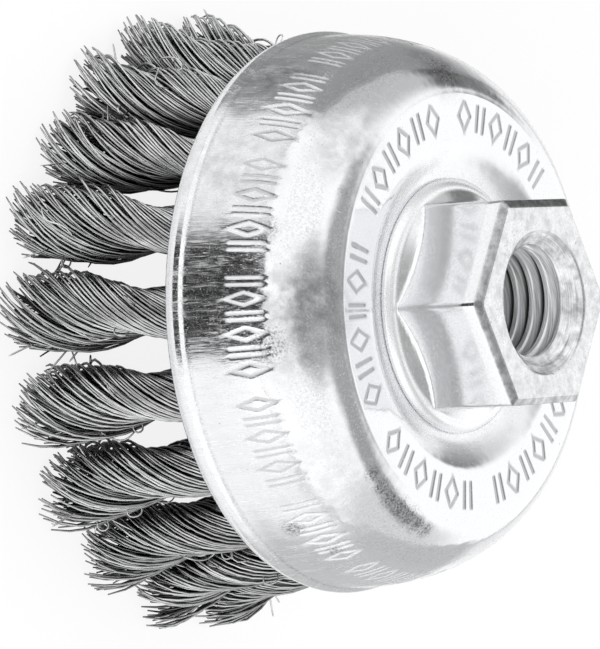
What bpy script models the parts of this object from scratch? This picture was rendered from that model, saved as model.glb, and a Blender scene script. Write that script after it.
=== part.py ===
"""Knotted wire cup brush for an angle grinder.

The brush stands on its wire tips at Z = 0 with its nut up, and its axis is the Z axis.
It has a pressed steel cup, a threaded hexagon nut riveted through the cup's centre, a
dished holder plate with one slot for each knot, and a ring of twisted wire knots. Each
knot is a bundle of wires that goes up through its slot, folds over the web at the
plate's edge, comes down outside the plate and is twisted with its own other half.
"""

import math

import bmesh
import bpy
import numpy as np
from mathutils import Matrix, Vector

MM = 0.001

# Fit between pieces that touch
SEAT_GAP = 0.3 * MM

# Wire knots
KNOT_COUNT = 18
FIRST_KNOT_ANGLE = math.radians(-92.2)
TRIM_LENGTH = 21.9 * MM
TIP_RING_INSET = 2.0 * MM
TIP_HALF_DEPTH = 6.6 * MM
TIP_SPACE = 0.5 * MM
TIP_RAGGEDNESS = 1.2 * MM
TIP_HOLLOW = 1.8 * MM
LEG_THICKNESS = 2.2 * MM
FOLD_HALF_WIDTH = 2.75 * MM
KNOT_HALF_DEPTH = 3.2 * MM
KNOT_HALF_WIDTH = 2.5 * MM
LEG_SPACE = 0.4 * MM
LEG_CORNER_ANGLE = math.radians(86)
LEG_GROOVE = 0.2
KNOT_TWIST = math.radians(330)
ROOT_TWIST = math.radians(45)
ROOT_TWIST_POWER = 12
TWIST_START_POWER = 1.35
RIDGES_PER_LEG = 4
RIDGE_DEPTH = 0.14
TWIST_STEPS = 12
FOLD_STEPS = 5
FOLD_SPACE = 0.95 * MM

# Pressed cup
CUP_RIM_RADIUS = 30.85 * MM
CUP_HEIGHT = 18.0 * MM
CUP_WALL = 1.5 * MM
RIM_BEAD_HEIGHT = 2.3 * MM
RIM_BEAD_STEP = 0.5 * MM
SHOULDER_WIDTH = 7.65 * MM
DISH_DEPTH = 1.6 * MM
DISH_WIDTH = 4.2 * MM
CUP_SEGMENTS = 48

# Holder plate
PLATE_DROP = 11.3 * MM
PLATE_THICKNESS = 2.0 * MM
PLATE_WEB = 2.0 * MM
PLATE_HUB_RADIUS = 12.5 * MM
PLATE_SLOT_MARGIN = 1.2 * MM
SLOT_ROUNDNESS = 0.7
SLOT_STEPS = 6
PLATE_SEGMENTS = 36

# Threaded nut
NUT_ACROSS_FLATS = 22.0 * MM
NUT_HEIGHT = 11.4 * MM
NUT_EDGE_WIDTH = 0.9 * MM
NUT_EDGE_HEIGHT = 0.6 * MM
COLLAR_RADIUS = 13.85 * MM
COLLAR_HEIGHT = 0.8 * MM
COLLAR_SLOPE = 0.75 * MM
COLLAR_CONE_RISE = 1.6 * MM
COLLAR_CONE_INSET = 1.0 * MM
THREAD_CORE_RADIUS = 5.92 * MM
MOUTH_RADIUS = 7.8 * MM
MOUTH_DEPTH = 1.6 * MM
SPIGOT_RADIUS = 9.0 * MM
RIVET_HEAD_RADIUS = 11.0 * MM
RIVET_HEAD_HEIGHT = 1.2 * MM
CUT_OVERSHOOT = 1.0 * MM
NUT_SEGMENTS = 48

# Heights worked out from the sizes above
RIM_HEIGHT = TRIM_LENGTH
CUP_TOP = RIM_HEIGHT + CUP_HEIGHT
WALL_FOOT = RIM_HEIGHT + RIM_BEAD_HEIGHT + RIM_BEAD_STEP
CUP_CENTRE_TOP = CUP_TOP - DISH_DEPTH
CUP_CENTRE_UNDER = CUP_CENTRE_TOP - CUP_WALL
COLLAR_FOOT = CUP_CENTRE_TOP + SEAT_GAP
NUT_TOP = COLLAR_FOOT + NUT_HEIGHT
PLATE_TOP = CUP_TOP - PLATE_DROP
PLATE_UNDER = PLATE_TOP - PLATE_THICKNESS
HUB_TOP = CUP_CENTRE_UNDER - SEAT_GAP
HUB_UNDER = HUB_TOP - PLATE_THICKNESS
RIVET_TOP = HUB_UNDER - SEAT_GAP
RIVET_UNDER = RIVET_TOP - RIVET_HEAD_HEIGHT

# Radii worked out from the sizes above
WALL_FOOT_RADIUS = CUP_RIM_RADIUS - RIM_BEAD_STEP
FACE_RADIUS = WALL_FOOT_RADIUS - SHOULDER_WIDTH
DISH_INNER_RADIUS = COLLAR_RADIUS + SEAT_GAP
CENTRE_HOLE_RADIUS = SPIGOT_RADIUS + SEAT_GAP
FOLD_OUTER_RADIUS = WALL_FOOT_RADIUS - CUP_WALL - FOLD_SPACE
PLATE_RADIUS = FOLD_OUTER_RADIUS - LEG_THICKNESS - SEAT_GAP
FOLD_OFFSET = PLATE_WEB / 2 + SEAT_GAP
FOLD_RING_RADIUS = PLATE_RADIUS - PLATE_WEB / 2
SLOT_INNER_RADIUS = FOLD_RING_RADIUS - FOLD_OFFSET - LEG_THICKNESS - SEAT_GAP
TIP_RING_RADIUS = CUP_RIM_RADIUS - TIP_RING_INSET
TIP_HALF_WIDTH = TIP_RING_RADIUS * math.sin(math.pi / KNOT_COUNT) - TIP_SPACE / 2
TWIST_START = PLATE_UNDER - SEAT_GAP


def steel(name, colour, roughness):
    """A metal material with one colour and one roughness."""
    material = bpy.data.materials.new(name)
    material.use_nodes = True
    shader = material.node_tree.nodes["Principled BSDF"]
    shader.inputs["Base Color"].default_value = (*colour, 1.0)
    shader.inputs["Metallic"].default_value = 1.0
    shader.inputs["Roughness"].default_value = roughness
    material.diffuse_color = (*colour, 1.0)
    return material


def add_object(name, mesh, material, smooth_angle=math.radians(35)):
    """Puts a finished mesh into the scene as one named sub-part."""
    part = bpy.data.objects.new(name, mesh)
    bpy.context.scene.collection.objects.link(part)
    mesh.materials.append(material)
    mesh.shade_smooth()
    mesh.set_sharp_from_angle(angle=smooth_angle)
    return part


def arc(centre, radii, start, end, count):
    """Points (radius, height) along a circular or elliptical arc, both ends included."""
    angles = np.linspace(math.radians(start), math.radians(end), count)
    return [(centre[0] + radii[0] * math.cos(a), centre[1] + radii[1] * math.sin(a)) for a in angles]


def turned_mesh(name, section, segments):
    """Spins a closed section, given as (radius, height) points, round the Z axis."""
    shape = bmesh.new()
    corners = [shape.verts.new((radius, 0.0, height)) for radius, height in section]
    edges = [shape.edges.new((a, b)) for a, b in zip(corners, corners[1:] + corners[:1])]
    bmesh.ops.spin(
        shape,
        geom=corners + edges,
        cent=(0.0, 0.0, 0.0),
        axis=(0.0, 0.0, 1.0),
        angle=math.tau,
        steps=segments,
        use_merge=True,
    )
    bmesh.ops.remove_doubles(shape, verts=shape.verts, dist=0.001 * MM)
    bmesh.ops.recalc_face_normals(shape, faces=shape.faces)
    mesh = bpy.data.meshes.new(name)
    shape.to_mesh(mesh)
    shape.free()
    return mesh


def prism_mesh(name, loops):
    """A closed solid through a stack of matching loops of points, capped at both ends."""
    shape = bmesh.new()
    rings = [[shape.verts.new(point) for point in loop] for loop in loops]
    for low, high in zip(rings, rings[1:]):
        for i in range(len(low)):
            j = (i + 1) % len(low)
            shape.faces.new((low[i], low[j], high[j], high[i]))
    shape.faces.new(list(reversed(rings[0])))
    shape.faces.new(rings[-1])
    bmesh.ops.recalc_face_normals(shape, faces=shape.faces)
    mesh = bpy.data.meshes.new(name)
    shape.to_mesh(mesh)
    shape.free()
    return mesh


def add_cutter(name, mesh):
    """A shape that only cuts or joins others, left out of the finished part."""
    cutter = bpy.data.objects.new(name, mesh)
    bpy.context.scene.collection.objects.link(cutter)
    cutter.hide_render = True
    cutter.display_type = "WIRE"
    return cutter


def boolean(part, cutter, operation):
    """Adds an exact Boolean of the cutter to the part."""
    modifier = part.modifiers.new(cutter.name, "BOOLEAN")
    modifier.operation = operation
    modifier.solver = "EXACT"
    modifier.object = cutter


def hexagon(across_flats, height):
    """The six corners of the nut at one height, with one corner towards -Y."""
    radius = across_flats / math.sqrt(3)
    angles = [math.radians(-90 + 60 * i) for i in range(6)]
    return [(radius * math.cos(a), radius * math.sin(a), height) for a in angles]


def build_cup(material):
    """The pressed shell: dished centre, flat end face, wall and shoulder in one curve, and rim bead.

    The section runs from the centre hole down the outside to the rim and back inside, one
    sheet thickness away. Wall and shoulder are one quarter ellipse from the end face's edge
    to the bead.
    """
    bead_top = RIM_HEIGHT + RIM_BEAD_HEIGHT
    bead_round = RIM_BEAD_STEP
    dish_outer = DISH_INNER_RADIUS + DISH_WIDTH
    dish_middle = (DISH_INNER_RADIUS + dish_outer) / 2
    shoulder_centre = (FACE_RADIUS, WALL_FOOT)
    shoulder = (SHOULDER_WIDTH, CUP_TOP - WALL_FOOT)
    inner_shoulder = (shoulder[0] - CUP_WALL, shoulder[1] - CUP_WALL)
    outside = [
        (CENTRE_HOLE_RADIUS, CUP_CENTRE_TOP),
        (DISH_INNER_RADIUS, CUP_CENTRE_TOP),
        (dish_middle, CUP_CENTRE_TOP + DISH_DEPTH / 2),
        (dish_outer, CUP_TOP),
        *arc(shoulder_centre, shoulder, 90, 0, 9),
        *arc((WALL_FOOT_RADIUS, bead_top), (RIM_BEAD_STEP, bead_round), 90, 0, 3)[1:],
        *arc((CUP_RIM_RADIUS - bead_round, RIM_HEIGHT + bead_round), (bead_round, bead_round), 0, -90, 3),
    ]
    inside = [
        (CUP_RIM_RADIUS - CUP_WALL, RIM_HEIGHT),
        (WALL_FOOT_RADIUS - CUP_WALL, bead_top),
        *arc(shoulder_centre, inner_shoulder, 0, 90, 5),
        (dish_outer, CUP_TOP - CUP_WALL),
        (DISH_INNER_RADIUS, CUP_CENTRE_UNDER),
        (CENTRE_HOLE_RADIUS, CUP_CENTRE_UNDER),
    ]
    mesh = turned_mesh("cup", outside + inside, CUP_SEGMENTS)
    return add_object("cup", mesh, material)


def build_nut(material):
    """The hexagon on its round collar, with a spigot riveted over under the holder plate."""
    edge_foot = NUT_TOP - NUT_EDGE_HEIGHT
    hexagon_loops = [
        hexagon(NUT_ACROSS_FLATS, COLLAR_FOOT + COLLAR_HEIGHT / 2),
        hexagon(NUT_ACROSS_FLATS, edge_foot),
        hexagon(NUT_ACROSS_FLATS - 2 * NUT_EDGE_WIDTH, NUT_TOP),
    ]
    nut = add_object("threaded_nut", prism_mesh("threaded_nut", hexagon_loops), material)

    collar_top = COLLAR_FOOT + COLLAR_HEIGHT
    corner_radius = NUT_ACROSS_FLATS / math.sqrt(3)
    cone_top_radius = NUT_ACROSS_FLATS / 2 - COLLAR_CONE_INSET
    inner = THREAD_CORE_RADIUS / 2
    collar_section = [
        (inner, RIVET_UNDER),
        (RIVET_HEAD_RADIUS - RIVET_HEAD_HEIGHT / 2, RIVET_UNDER),
        (RIVET_HEAD_RADIUS, RIVET_UNDER + RIVET_HEAD_HEIGHT / 2),
        (RIVET_HEAD_RADIUS, RIVET_TOP),
        (SPIGOT_RADIUS, RIVET_TOP),
        (SPIGOT_RADIUS, COLLAR_FOOT),
        (COLLAR_RADIUS, COLLAR_FOOT),
        (COLLAR_RADIUS - COLLAR_SLOPE, collar_top),
        (corner_radius, collar_top),
        (cone_top_radius, collar_top + COLLAR_CONE_RISE),
        (inner, collar_top + COLLAR_CONE_RISE),
    ]
    collar = add_cutter("collar_form", turned_mesh("collar_form", collar_section, NUT_SEGMENTS))
    boolean(nut, collar, "UNION")

    bore_section = [
        (THREAD_CORE_RADIUS, RIVET_UNDER - CUT_OVERSHOOT),
        (THREAD_CORE_RADIUS, NUT_TOP - MOUTH_DEPTH),
        (MOUTH_RADIUS, NUT_TOP),
        (MOUTH_RADIUS, NUT_TOP + CUT_OVERSHOOT),
    ]
    angles = [math.tau * i / NUT_SEGMENTS for i in range(NUT_SEGMENTS)]
    bore_loops = [[(r * math.cos(a), r * math.sin(a), z) for a in angles] for r, z in bore_section]
    bore = add_cutter("bore_form", prism_mesh("bore_form", bore_loops))
    boolean(nut, bore, "DIFFERENCE")
    return nut


def build_plate(material):
    """The dished holder plate, with one half-round slot for each knot near its edge."""
    shelf_radius = SLOT_INNER_RADIUS - PLATE_SLOT_MARGIN
    slope = math.atan2(HUB_TOP - PLATE_TOP, shelf_radius - PLATE_HUB_RADIUS)
    bend_shift = PLATE_THICKNESS * math.tan(slope / 2)
    section = [
        (CENTRE_HOLE_RADIUS, HUB_TOP),
        (PLATE_HUB_RADIUS, HUB_TOP),
        (shelf_radius, PLATE_TOP),
        (PLATE_RADIUS, PLATE_TOP),
        (PLATE_RADIUS, PLATE_UNDER),
        (shelf_radius - bend_shift, PLATE_UNDER),
        (PLATE_HUB_RADIUS - bend_shift, HUB_UNDER),
        (CENTRE_HOLE_RADIUS, HUB_UNDER),
    ]
    plate = add_object("knot_plate", turned_mesh("knot_plate", section, PLATE_SEGMENTS), material)

    slots = bmesh.new()
    for index in range(KNOT_COUNT):
        outline = slot_outline(knot_angle(index))
        low = [slots.verts.new((x, y, PLATE_UNDER - SEAT_GAP)) for x, y in outline]
        high = [slots.verts.new((x, y, PLATE_TOP + SEAT_GAP)) for x, y in outline]
        for i in range(len(outline)):
            j = (i + 1) % len(outline)
            slots.faces.new((low[i], low[j], high[j], high[i]))
        slots.faces.new(list(reversed(low)))
        slots.faces.new(high)
    bmesh.ops.recalc_face_normals(slots, faces=slots.faces)
    mesh = bpy.data.meshes.new("slot_form")
    slots.to_mesh(mesh)
    slots.free()
    boolean(plate, add_cutter("slot_form", mesh), "DIFFERENCE")
    return plate


def knot_angle(index):
    """Where a knot stands round the brush's axis."""
    return FIRST_KNOT_ANGLE + math.tau * index / KNOT_COUNT


def slot_outline(angle):
    """A half-round slot, flat on the side of the plate's web, seen from above."""
    radial = Vector((math.cos(angle), math.sin(angle)))
    tangential = Vector((-math.sin(angle), math.cos(angle)))
    flat_radius = PLATE_RADIUS - PLATE_WEB
    depth = flat_radius - SLOT_INNER_RADIUS
    half_width = FOLD_HALF_WIDTH + SEAT_GAP
    points = []
    for step in range(SLOT_STEPS + 1):
        turn = math.pi * (step / SLOT_STEPS - 0.5)
        across = half_width * math.sin(turn)
        inward = depth * max(0.0, math.cos(turn)) ** SLOT_ROUNDNESS
        point = radial * (flat_radius - inward) + tangential * across
        points.append((point.x, point.y))
    return points


def leg_ray(index):
    """One point of a leg's half-round section: its direction and how far out it lies.

    The points run from one corner of the flat side round the outside to the other
    corner, and every other one stands proud as a ridge of wires.
    """
    count = 2 * RIDGES_PER_LEG + 1
    turn = LEG_CORNER_ANGLE * (2 * index / (count - 1) - 1.0)
    reach = 1.0 if index % 2 else 1.0 - RIDGE_DEPTH
    return turn, reach


def leg_section(turn, half_depth, half_width, offset, groove, opening):
    """Points (radial, tangential) of one leg's section.

    turn is how far the leg has turned round the knot's own axis, offset is the distance
    from that axis to the leg's flat side, and groove is the share of the radius by which
    the outline falls back where the two legs meet. The outline goes from an ellipse that
    turns with the leg to the fixed ellipse of the tips as opening goes from 0 to 1.
    """
    points = []
    for index in range(2 * RIDGES_PER_LEG + 1):
        ray, reach = leg_ray(index)
        direction = turn + ray
        own = (1.0 - groove * math.sin(ray) ** 2) / math.hypot(
            math.cos(ray) / half_depth, math.sin(ray) / half_width)
        tip = 1.0 / math.hypot(math.cos(direction) / TIP_HALF_DEPTH, math.sin(direction) / TIP_HALF_WIDTH)
        radius = reach * (own + (tip - own) * opening)
        own_depth = max(radius * math.cos(ray), offset)
        own_width = radius * math.sin(ray)
        radial = own_depth * math.cos(turn) - own_width * math.sin(turn)
        tangential = own_depth * math.sin(turn) + own_width * math.cos(turn)
        points.append((radial, tangential))
    return points


def leg_loops(side):
    """The loops of one leg from the fold down to the wire tips.

    side is 0 for the leg outside the plate and 1 for the leg in its slot. Below the
    plate both legs turn round the knot's axis, which leans outwards, while the knot
    opens out to its full width at the tips. The twist is even along the knot, with some
    more close under the plate, where the stations lie closer.
    """
    fold_depth = FOLD_OFFSET + LEG_THICKNESS
    loops = []
    for step in range(-1, TWIST_STEPS + 1):
        level = (max(step, 0) / TWIST_STEPS) ** TWIST_START_POWER
        height = TWIST_START * (1.0 - level) if step >= 0 else PLATE_TOP
        sinking = min(1.0, max(0.0, TWIST_START - height) / (TWIST_START - RIM_HEIGHT))
        opening = math.sin(math.pi / 2 * min(1.0, max(0.0, 1.0 - height / RIM_HEIGHT)))
        half_depth = fold_depth + (KNOT_HALF_DEPTH - fold_depth) * sinking
        half_width = FOLD_HALF_WIDTH + (KNOT_HALF_WIDTH - FOLD_HALF_WIDTH) * sinking
        offset = FOLD_OFFSET + (LEG_SPACE / 2 - FOLD_OFFSET) * sinking
        axis_radius = FOLD_RING_RADIUS + (TIP_RING_RADIUS - FOLD_RING_RADIUS) * level
        root = 1.0 - (1.0 - level) ** ROOT_TWIST_POWER
        turn = math.pi * side - KNOT_TWIST * level - ROOT_TWIST * root
        section = leg_section(turn, half_depth, half_width, offset, LEG_GROOVE * sinking, opening)
        raggedness = TIP_RAGGEDNESS if step == TWIST_STEPS else 0.0
        loops.append([
            (axis_radius + radial, tangential, height + (0.0 if i % 2 else raggedness))
            for i, (radial, tangential) in enumerate(section)
        ])
    return loops


def fold_loops():
    """The loops of the fold over the plate's web, from the slot side to the outside."""
    section = leg_section(0.0, FOLD_OFFSET + LEG_THICKNESS, FOLD_HALF_WIDTH, FOLD_OFFSET, 0.0, 0.0)
    loops = []
    for step in range(1, FOLD_STEPS):
        swing = math.pi * (1.0 - step / FOLD_STEPS)
        across, up = math.cos(swing), math.sin(swing)
        loops.append([
            (FOLD_RING_RADIUS + depth * across, width, PLATE_TOP + depth * up)
            for depth, width in section
        ])
    return loops


def knot_mesh(name):
    """One knot as a single folded bundle, for a knot that stands on the +X side.

    The loops run up the leg in the slot, over the fold and down the leg outside. The
    diagonals bow the round side outwards along its ridges, and the flat side inwards, away
    from the other leg.
    """
    slot_leg = [list(reversed(loop)) for loop in reversed(leg_loops(1))]
    loops = slot_leg + fold_loops() + leg_loops(0)
    size = len(loops[0])
    corners = [point for loop in loops for point in loop]
    faces = []
    for row in range(len(loops) - 1):
        for i in range(size):
            j = (i + 1) % size
            a, b = row * size + i, row * size + j
            c, d = a + size, b + size
            if i == size - 1:
                faces += [(a, b, c), (b, d, c)]
            else:
                faces += [(a, b, d), (a, d, c)]
    for first, facing in ((0, 1), ((len(loops) - 1) * size, -1)):
        centre = np.mean(corners[first:first + size], axis=0)
        corners.append((centre[0], centre[1], TIP_HOLLOW))
        hub = len(corners) - 1
        for i in range(size):
            j = (i + 1) % size
            faces.append((first + i, hub, first + j) if facing > 0 else (first + j, hub, first + i))
    mesh = bpy.data.meshes.new(name)
    mesh.from_pydata([tuple(corner) for corner in corners], [], faces)
    shape = bmesh.new()
    shape.from_mesh(mesh)
    bmesh.ops.recalc_face_normals(shape, faces=shape.faces)
    shape.to_mesh(mesh)
    shape.free()
    return mesh


def build_knots(material):
    """The ring of knots, each turned to its own place round the axis."""
    for index in range(KNOT_COUNT):
        name = f"knot_{index + 1:02d}"
        mesh = knot_mesh(name)
        mesh.transform(Matrix.Rotation(knot_angle(index), 4, "Z"))
        add_object(name, mesh, material, math.radians(25))


def build_brush():
    """Clears the scene and builds every sub-part of the brush."""
    for old in list(bpy.data.objects):
        bpy.data.objects.remove(old)
    build_cup(steel("cup_steel", (0.80, 0.81, 0.83), 0.25))
    build_nut(steel("nut_steel", (0.78, 0.79, 0.80), 0.35))
    build_plate(steel("plate_steel", (0.55, 0.56, 0.58), 0.45))
    build_knots(steel("wire_steel", (0.42, 0.43, 0.45), 0.35))


build_brush()
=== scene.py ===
"""The looks of a knotted wire cup brush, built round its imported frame.

The brush stands on its wire tips at Z = 0 with its nut up. Here its cup, its threaded nut
and every wire of its knots get their fine surfaces and finishes, and a plain stage lights
them. Lengths are in metres, and MM turns a size in millimetres into metres.
"""

import math
from functools import partial
from types import SimpleNamespace

import bpy
import numpy as np
from mathutils import Matrix, Vector


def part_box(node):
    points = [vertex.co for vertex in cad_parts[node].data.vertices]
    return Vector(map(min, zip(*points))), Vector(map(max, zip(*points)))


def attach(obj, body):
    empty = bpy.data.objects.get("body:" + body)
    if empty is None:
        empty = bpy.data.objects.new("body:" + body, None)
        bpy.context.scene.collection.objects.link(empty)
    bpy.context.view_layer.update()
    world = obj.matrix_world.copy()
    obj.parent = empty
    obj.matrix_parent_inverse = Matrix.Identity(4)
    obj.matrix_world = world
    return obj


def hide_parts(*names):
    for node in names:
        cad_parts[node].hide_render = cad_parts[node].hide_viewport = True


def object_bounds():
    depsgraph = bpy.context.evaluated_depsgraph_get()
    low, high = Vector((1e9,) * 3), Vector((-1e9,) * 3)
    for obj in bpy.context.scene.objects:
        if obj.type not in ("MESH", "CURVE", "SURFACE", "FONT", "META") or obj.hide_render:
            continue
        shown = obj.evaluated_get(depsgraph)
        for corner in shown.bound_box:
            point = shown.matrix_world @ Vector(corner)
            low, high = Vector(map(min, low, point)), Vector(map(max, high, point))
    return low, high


bl_info = {
    "name": "Wire Cup Brush",
    "version": (1, 0, 0),
    "blender": (4, 5, 0),
    "location": "View3D > Sidebar > Cup Brush",
    "description": "Builds the looks of a knotted wire cup brush round its frame",
    "category": "Add Mesh",
}

MM = 0.001
BODY = "root"
SEED = 7

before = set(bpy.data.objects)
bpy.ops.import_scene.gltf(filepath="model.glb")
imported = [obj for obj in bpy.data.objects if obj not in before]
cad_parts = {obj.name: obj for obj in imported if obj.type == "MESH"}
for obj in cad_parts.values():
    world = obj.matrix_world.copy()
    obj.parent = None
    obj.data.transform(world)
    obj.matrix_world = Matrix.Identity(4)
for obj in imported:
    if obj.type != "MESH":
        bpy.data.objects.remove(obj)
frame_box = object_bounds()

# Places read from the frame
CUP_LOW, CUP_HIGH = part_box("cup")
NUT_LOW, NUT_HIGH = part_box("threaded_nut")
PLATE_LOW, PLATE_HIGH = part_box("knot_plate")
KNOT_NAMES = sorted(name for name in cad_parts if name.startswith("knot_") and name != "knot_plate")
KNOT_COUNT = len(KNOT_NAMES)

# Fit between pieces that touch
SEAT_GAP = 0.3 * MM

# Cup
CUP_RIM_RADIUS = 30.85 * MM
CUP_WALL = 1.5 * MM
RIM_BEAD_HEIGHT = 2.3 * MM
RIM_BEAD_STEP = 0.5 * MM
BEAD_CROWN = 0.9 * MM
SHOULDER_WIDTH = 7.65 * MM
DISH_DEPTH = 1.6 * MM
DISH_WIDTH = 4.2 * MM
COLLAR_RADIUS = 13.85 * MM
SPIGOT_RADIUS = 9.0 * MM
RIM_HEIGHT = CUP_LOW.z
CUP_TOP = CUP_HIGH.z
WALL_FOOT = RIM_HEIGHT + RIM_BEAD_HEIGHT + RIM_BEAD_STEP
WALL_RISE = CUP_TOP - WALL_FOOT
CUP_CENTRE_TOP = CUP_TOP - DISH_DEPTH
WALL_FOOT_RADIUS = CUP_RIM_RADIUS - RIM_BEAD_STEP
FACE_RADIUS = WALL_FOOT_RADIUS - SHOULDER_WIDTH
DISH_INNER_RADIUS = COLLAR_RADIUS + SEAT_GAP
DISH_OUTER_RADIUS = DISH_INNER_RADIUS + DISH_WIDTH
CENTRE_HOLE_RADIUS = SPIGOT_RADIUS + SEAT_GAP

# Plain border pressed in the wall and in the end face, with FINE_COLUMNS times as many
# columns as the rest of the cup, and its shapes as shares of a mark's pitch along the border
# and of the band's half width across it
WALL_BORDER_LOW = 29.3 * MM
WALL_BORDER_HIGH = 33.9 * MM
WALL_BORDER_MARKS = 98
FACE_BORDER_INNER = 18.9 * MM
FACE_BORDER_OUTER = 22.3 * MM
FACE_BORDER_MARKS = 42
BORDER_GROUP = 7
FINE_COLUMNS = 4
BAND_EDGE = 1.02
LOZENGE_HALF = (0.36, 0.95)
LOZENGE_STROKE = 0.9
BAR_PLACE = 0.2
BAR_HALF = 0.85

# How much wider than on the wall a stroke is on the end face, and where its flank starts and
# ends, as shares of its width from its middle line
FACE_STROKE = 1.5
STROKE_FLANK = (0.3, 0.8)

# Nut
NUT_ACROSS_FLATS = 22.0 * MM
NUT_EDGE_WIDTH = 0.9 * MM
NUT_EDGE_HEIGHT = 0.6 * MM
# The worn edge round the front face, as shares of its width and its height
NUT_BEVEL = ((0.03, 0.08), (0.10, 0.16), (0.84, 0.90), (0.92, 0.97), (1.0, 1.0))
NUT_CORNER_ROUND = 0.8 * MM
NUT_SOFT_EDGE = 0.12 * MM
COLLAR_HEIGHT = 0.8 * MM
COLLAR_SLOPE = 0.75 * MM
COLLAR_CONE_RISE = 1.6 * MM
THREAD_CORE_RADIUS = 5.92 * MM
THREAD_DEPTH = 1.1 * MM
THREAD_PITCH = 2.0 * MM
# Half the flat root and the start of the rounded crest, as shares of the pitch
THREAD_STEPS = (0.05, 0.4)
MOUTH_RADIUS = 7.8 * MM
MOUTH_DEPTH = 1.6 * MM
RIVET_HEAD_RADIUS = 11.0 * MM
RIVET_HEAD_HEIGHT = 1.2 * MM
NUT_TOP = NUT_HIGH.z
COLLAR_FOOT = CUP_CENTRE_TOP + SEAT_GAP
COLLAR_SEAT = CUP_CENTRE_TOP + 0.02 * MM
RIVET_UNDER = NUT_LOW.z

# Knots
FIRST_KNOT_ANGLE = math.radians(-92.2)
TIP_RING_RADIUS = 28.8 * MM
TIP_HALF_DEPTH = 4.8 * MM
TIP_HALF_WIDTH = 4.4 * MM
LEG_THICKNESS = 2.2 * MM
SLOT_HALF_WIDTH = 2.75 * MM
KNOT_HALF_DEPTH = 3.2 * MM
KNOT_HALF_WIDTH = 2.45 * MM
LEG_GROOVE = 0.26
KNOT_TWIST = math.radians(330)
ROOT_TWIST = math.radians(45)
ROOT_TWIST_POWER = 12
PLATE_WEB = 2.0 * MM
PLATE_DROP = 11.3 * MM
PLATE_TOP = CUP_TOP - PLATE_DROP
PLATE_UNDER = PLATE_LOW.z
TWIST_START = PLATE_UNDER - SEAT_GAP
FOLD_RING_RADIUS = PLATE_HIGH.x - PLATE_WEB / 2
FOLD_OFFSET = PLATE_WEB / 2 + SEAT_GAP

# Share of its radius that a wire keeps at its tip and one station before it
TIP_TAPER = (0.5, 0.85)

# How unevenly a knot's wires lie: the least that a tip is short and the spread of the rest, as
# shares of the tips' unevenness; how far a wire lies off its place round the leg and drifts on
# towards its tip, in radians; how far it is pushed out or in, as a share; how far its tip
# splays; and how far a knot is turned on or back as a whole, in radians
TIP_CUT = (0.2, 0.28)
WIRE_PUSH = 0.015
WIRE_DRIFT = 0.26
WIRE_BULGE = 0.07
TIP_SPLAY = 0.36 * MM
KNOT_TURN_SPREAD = 0.12

# Waves that bunch the wires of a leg: how far they push, in radians, and how many go round
WIRE_BUNCHES = ((0.07, 5.0), (0.05, 11.0))

# How bright a wire is painted, from 0 to 1: round its section, a painted highlight on the line
# that faces out of the knot and painted shade on its other sides; painted shade on the wires inside
# a share of the knot's outline, and on the side that faces the brush's axis
WIRE_PAINTED_LIGHT = (1.0, 0.5, 0.07, 0.07, 0.5)
INNER_PAINTED_SHADE = 0.07
INNER_SHARE = 0.6
BACK_PAINTED_SHADE = 0.15

# Thin stray wires: how many curls, long shallow arcs and straight spikes a knot has, how far
# round a leg they start, in radians, and how far down it, from 0 to 1, where a share of the
# tips' lean is reached, and their lengths and heights in millimetres
STRAYS_PER_KNOT = (4, 2, 5)
STRAY_RAY = 1.3
STRAY_START = (0.35, 0.8)
SPIKE_START = (0.7, 0.88)
STRAY_LEAN = 0.3
CURL_LENGTH, CURL_HEIGHT = (0.7, 1.6), (0.8, 1.7)
ARC_LENGTH, ARC_HEIGHT = (3.5, 6.0), (0.7, 1.4)
SPIKE_LENGTH = (2.0, 4.2)
STRAY_SIDES = 4

# How far a curl closes, as the factor in its formula, how far strays swing sideways, as a
# share of their length, and how deep their ends are sunk
CURL_LOOP = 0.3
STRAY_SWING = 0.25
STRAY_SINK = 0.15 * MM

# How far the tips of each knot are bent outwards and sideways in use, in millimetres
KNOT_LEANS = (
    (-1.2, -1.0), (-2.0, 0.3), (-0.4, 0.2), (0.1, 0.2), (1.1, 0.3), (2.3, 0.3),
    (1.5, 0.2), (0.4, 0.3), (-0.3, -0.4), (0.5, 0.2), (-0.4, 0.3), (0.3, -0.3),
    (-0.2, 0.2), (2.2, 0.2), (1.4, 0.1), (0.3, -0.1), (-1.8, -1.3), (-1.2, -1.7),
)


def linear(code):
    """Turns an sRGB hex colour such as "#c0c2c4" into the linear numbers that Blender uses."""
    parts = [int(code[i:i + 2], 16) / 255 for i in (1, 3, 5)]
    return [p / 12.92 if p <= 0.04045 else ((p + 0.055) / 1.055) ** 2.4 for p in parts]


def smooth_step(value):
    """Runs from 0 to 1 with level ends, as 3 v squared minus 2 v cubed."""
    value = np.clip(value, 0.0, 1.0)
    return value * value * (3.0 - 2.0 * value)


def length_property(name, description, size):
    """A length that the user can change, given in millimetres."""
    return bpy.props.FloatProperty(
        name=name, description=description, default=size * MM, unit="LENGTH", precision=5)


def angle_property(name, description, degrees):
    """An angle that the user can change, given in degrees."""
    return bpy.props.FloatProperty(
        name=name, description=description, default=math.radians(degrees), unit="ROTATION")


def colour_property(name, description, code):
    """A colour that the user can change, given as an sRGB hex value."""
    return bpy.props.FloatVectorProperty(
        name=name, description=description, subtype="COLOR", default=linear(code))


class BrushCupSettings(bpy.types.PropertyGroup):
    """Sizes and colour of the pressed cup."""

    around: bpy.props.IntProperty(
        name="Steps around", description="Columns of the cup's surface outside its borders",
        default=384, min=96)
    stamp_depth: length_property("Stamp depth", "How deep the plain border is pressed in", 0.07)
    stamp_stroke: length_property("Stroke width", "Width of the border's strokes on the wall", 0.3)
    colour: colour_property("Plating", "Colour of the bright plating", "#e9eaec")


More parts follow.
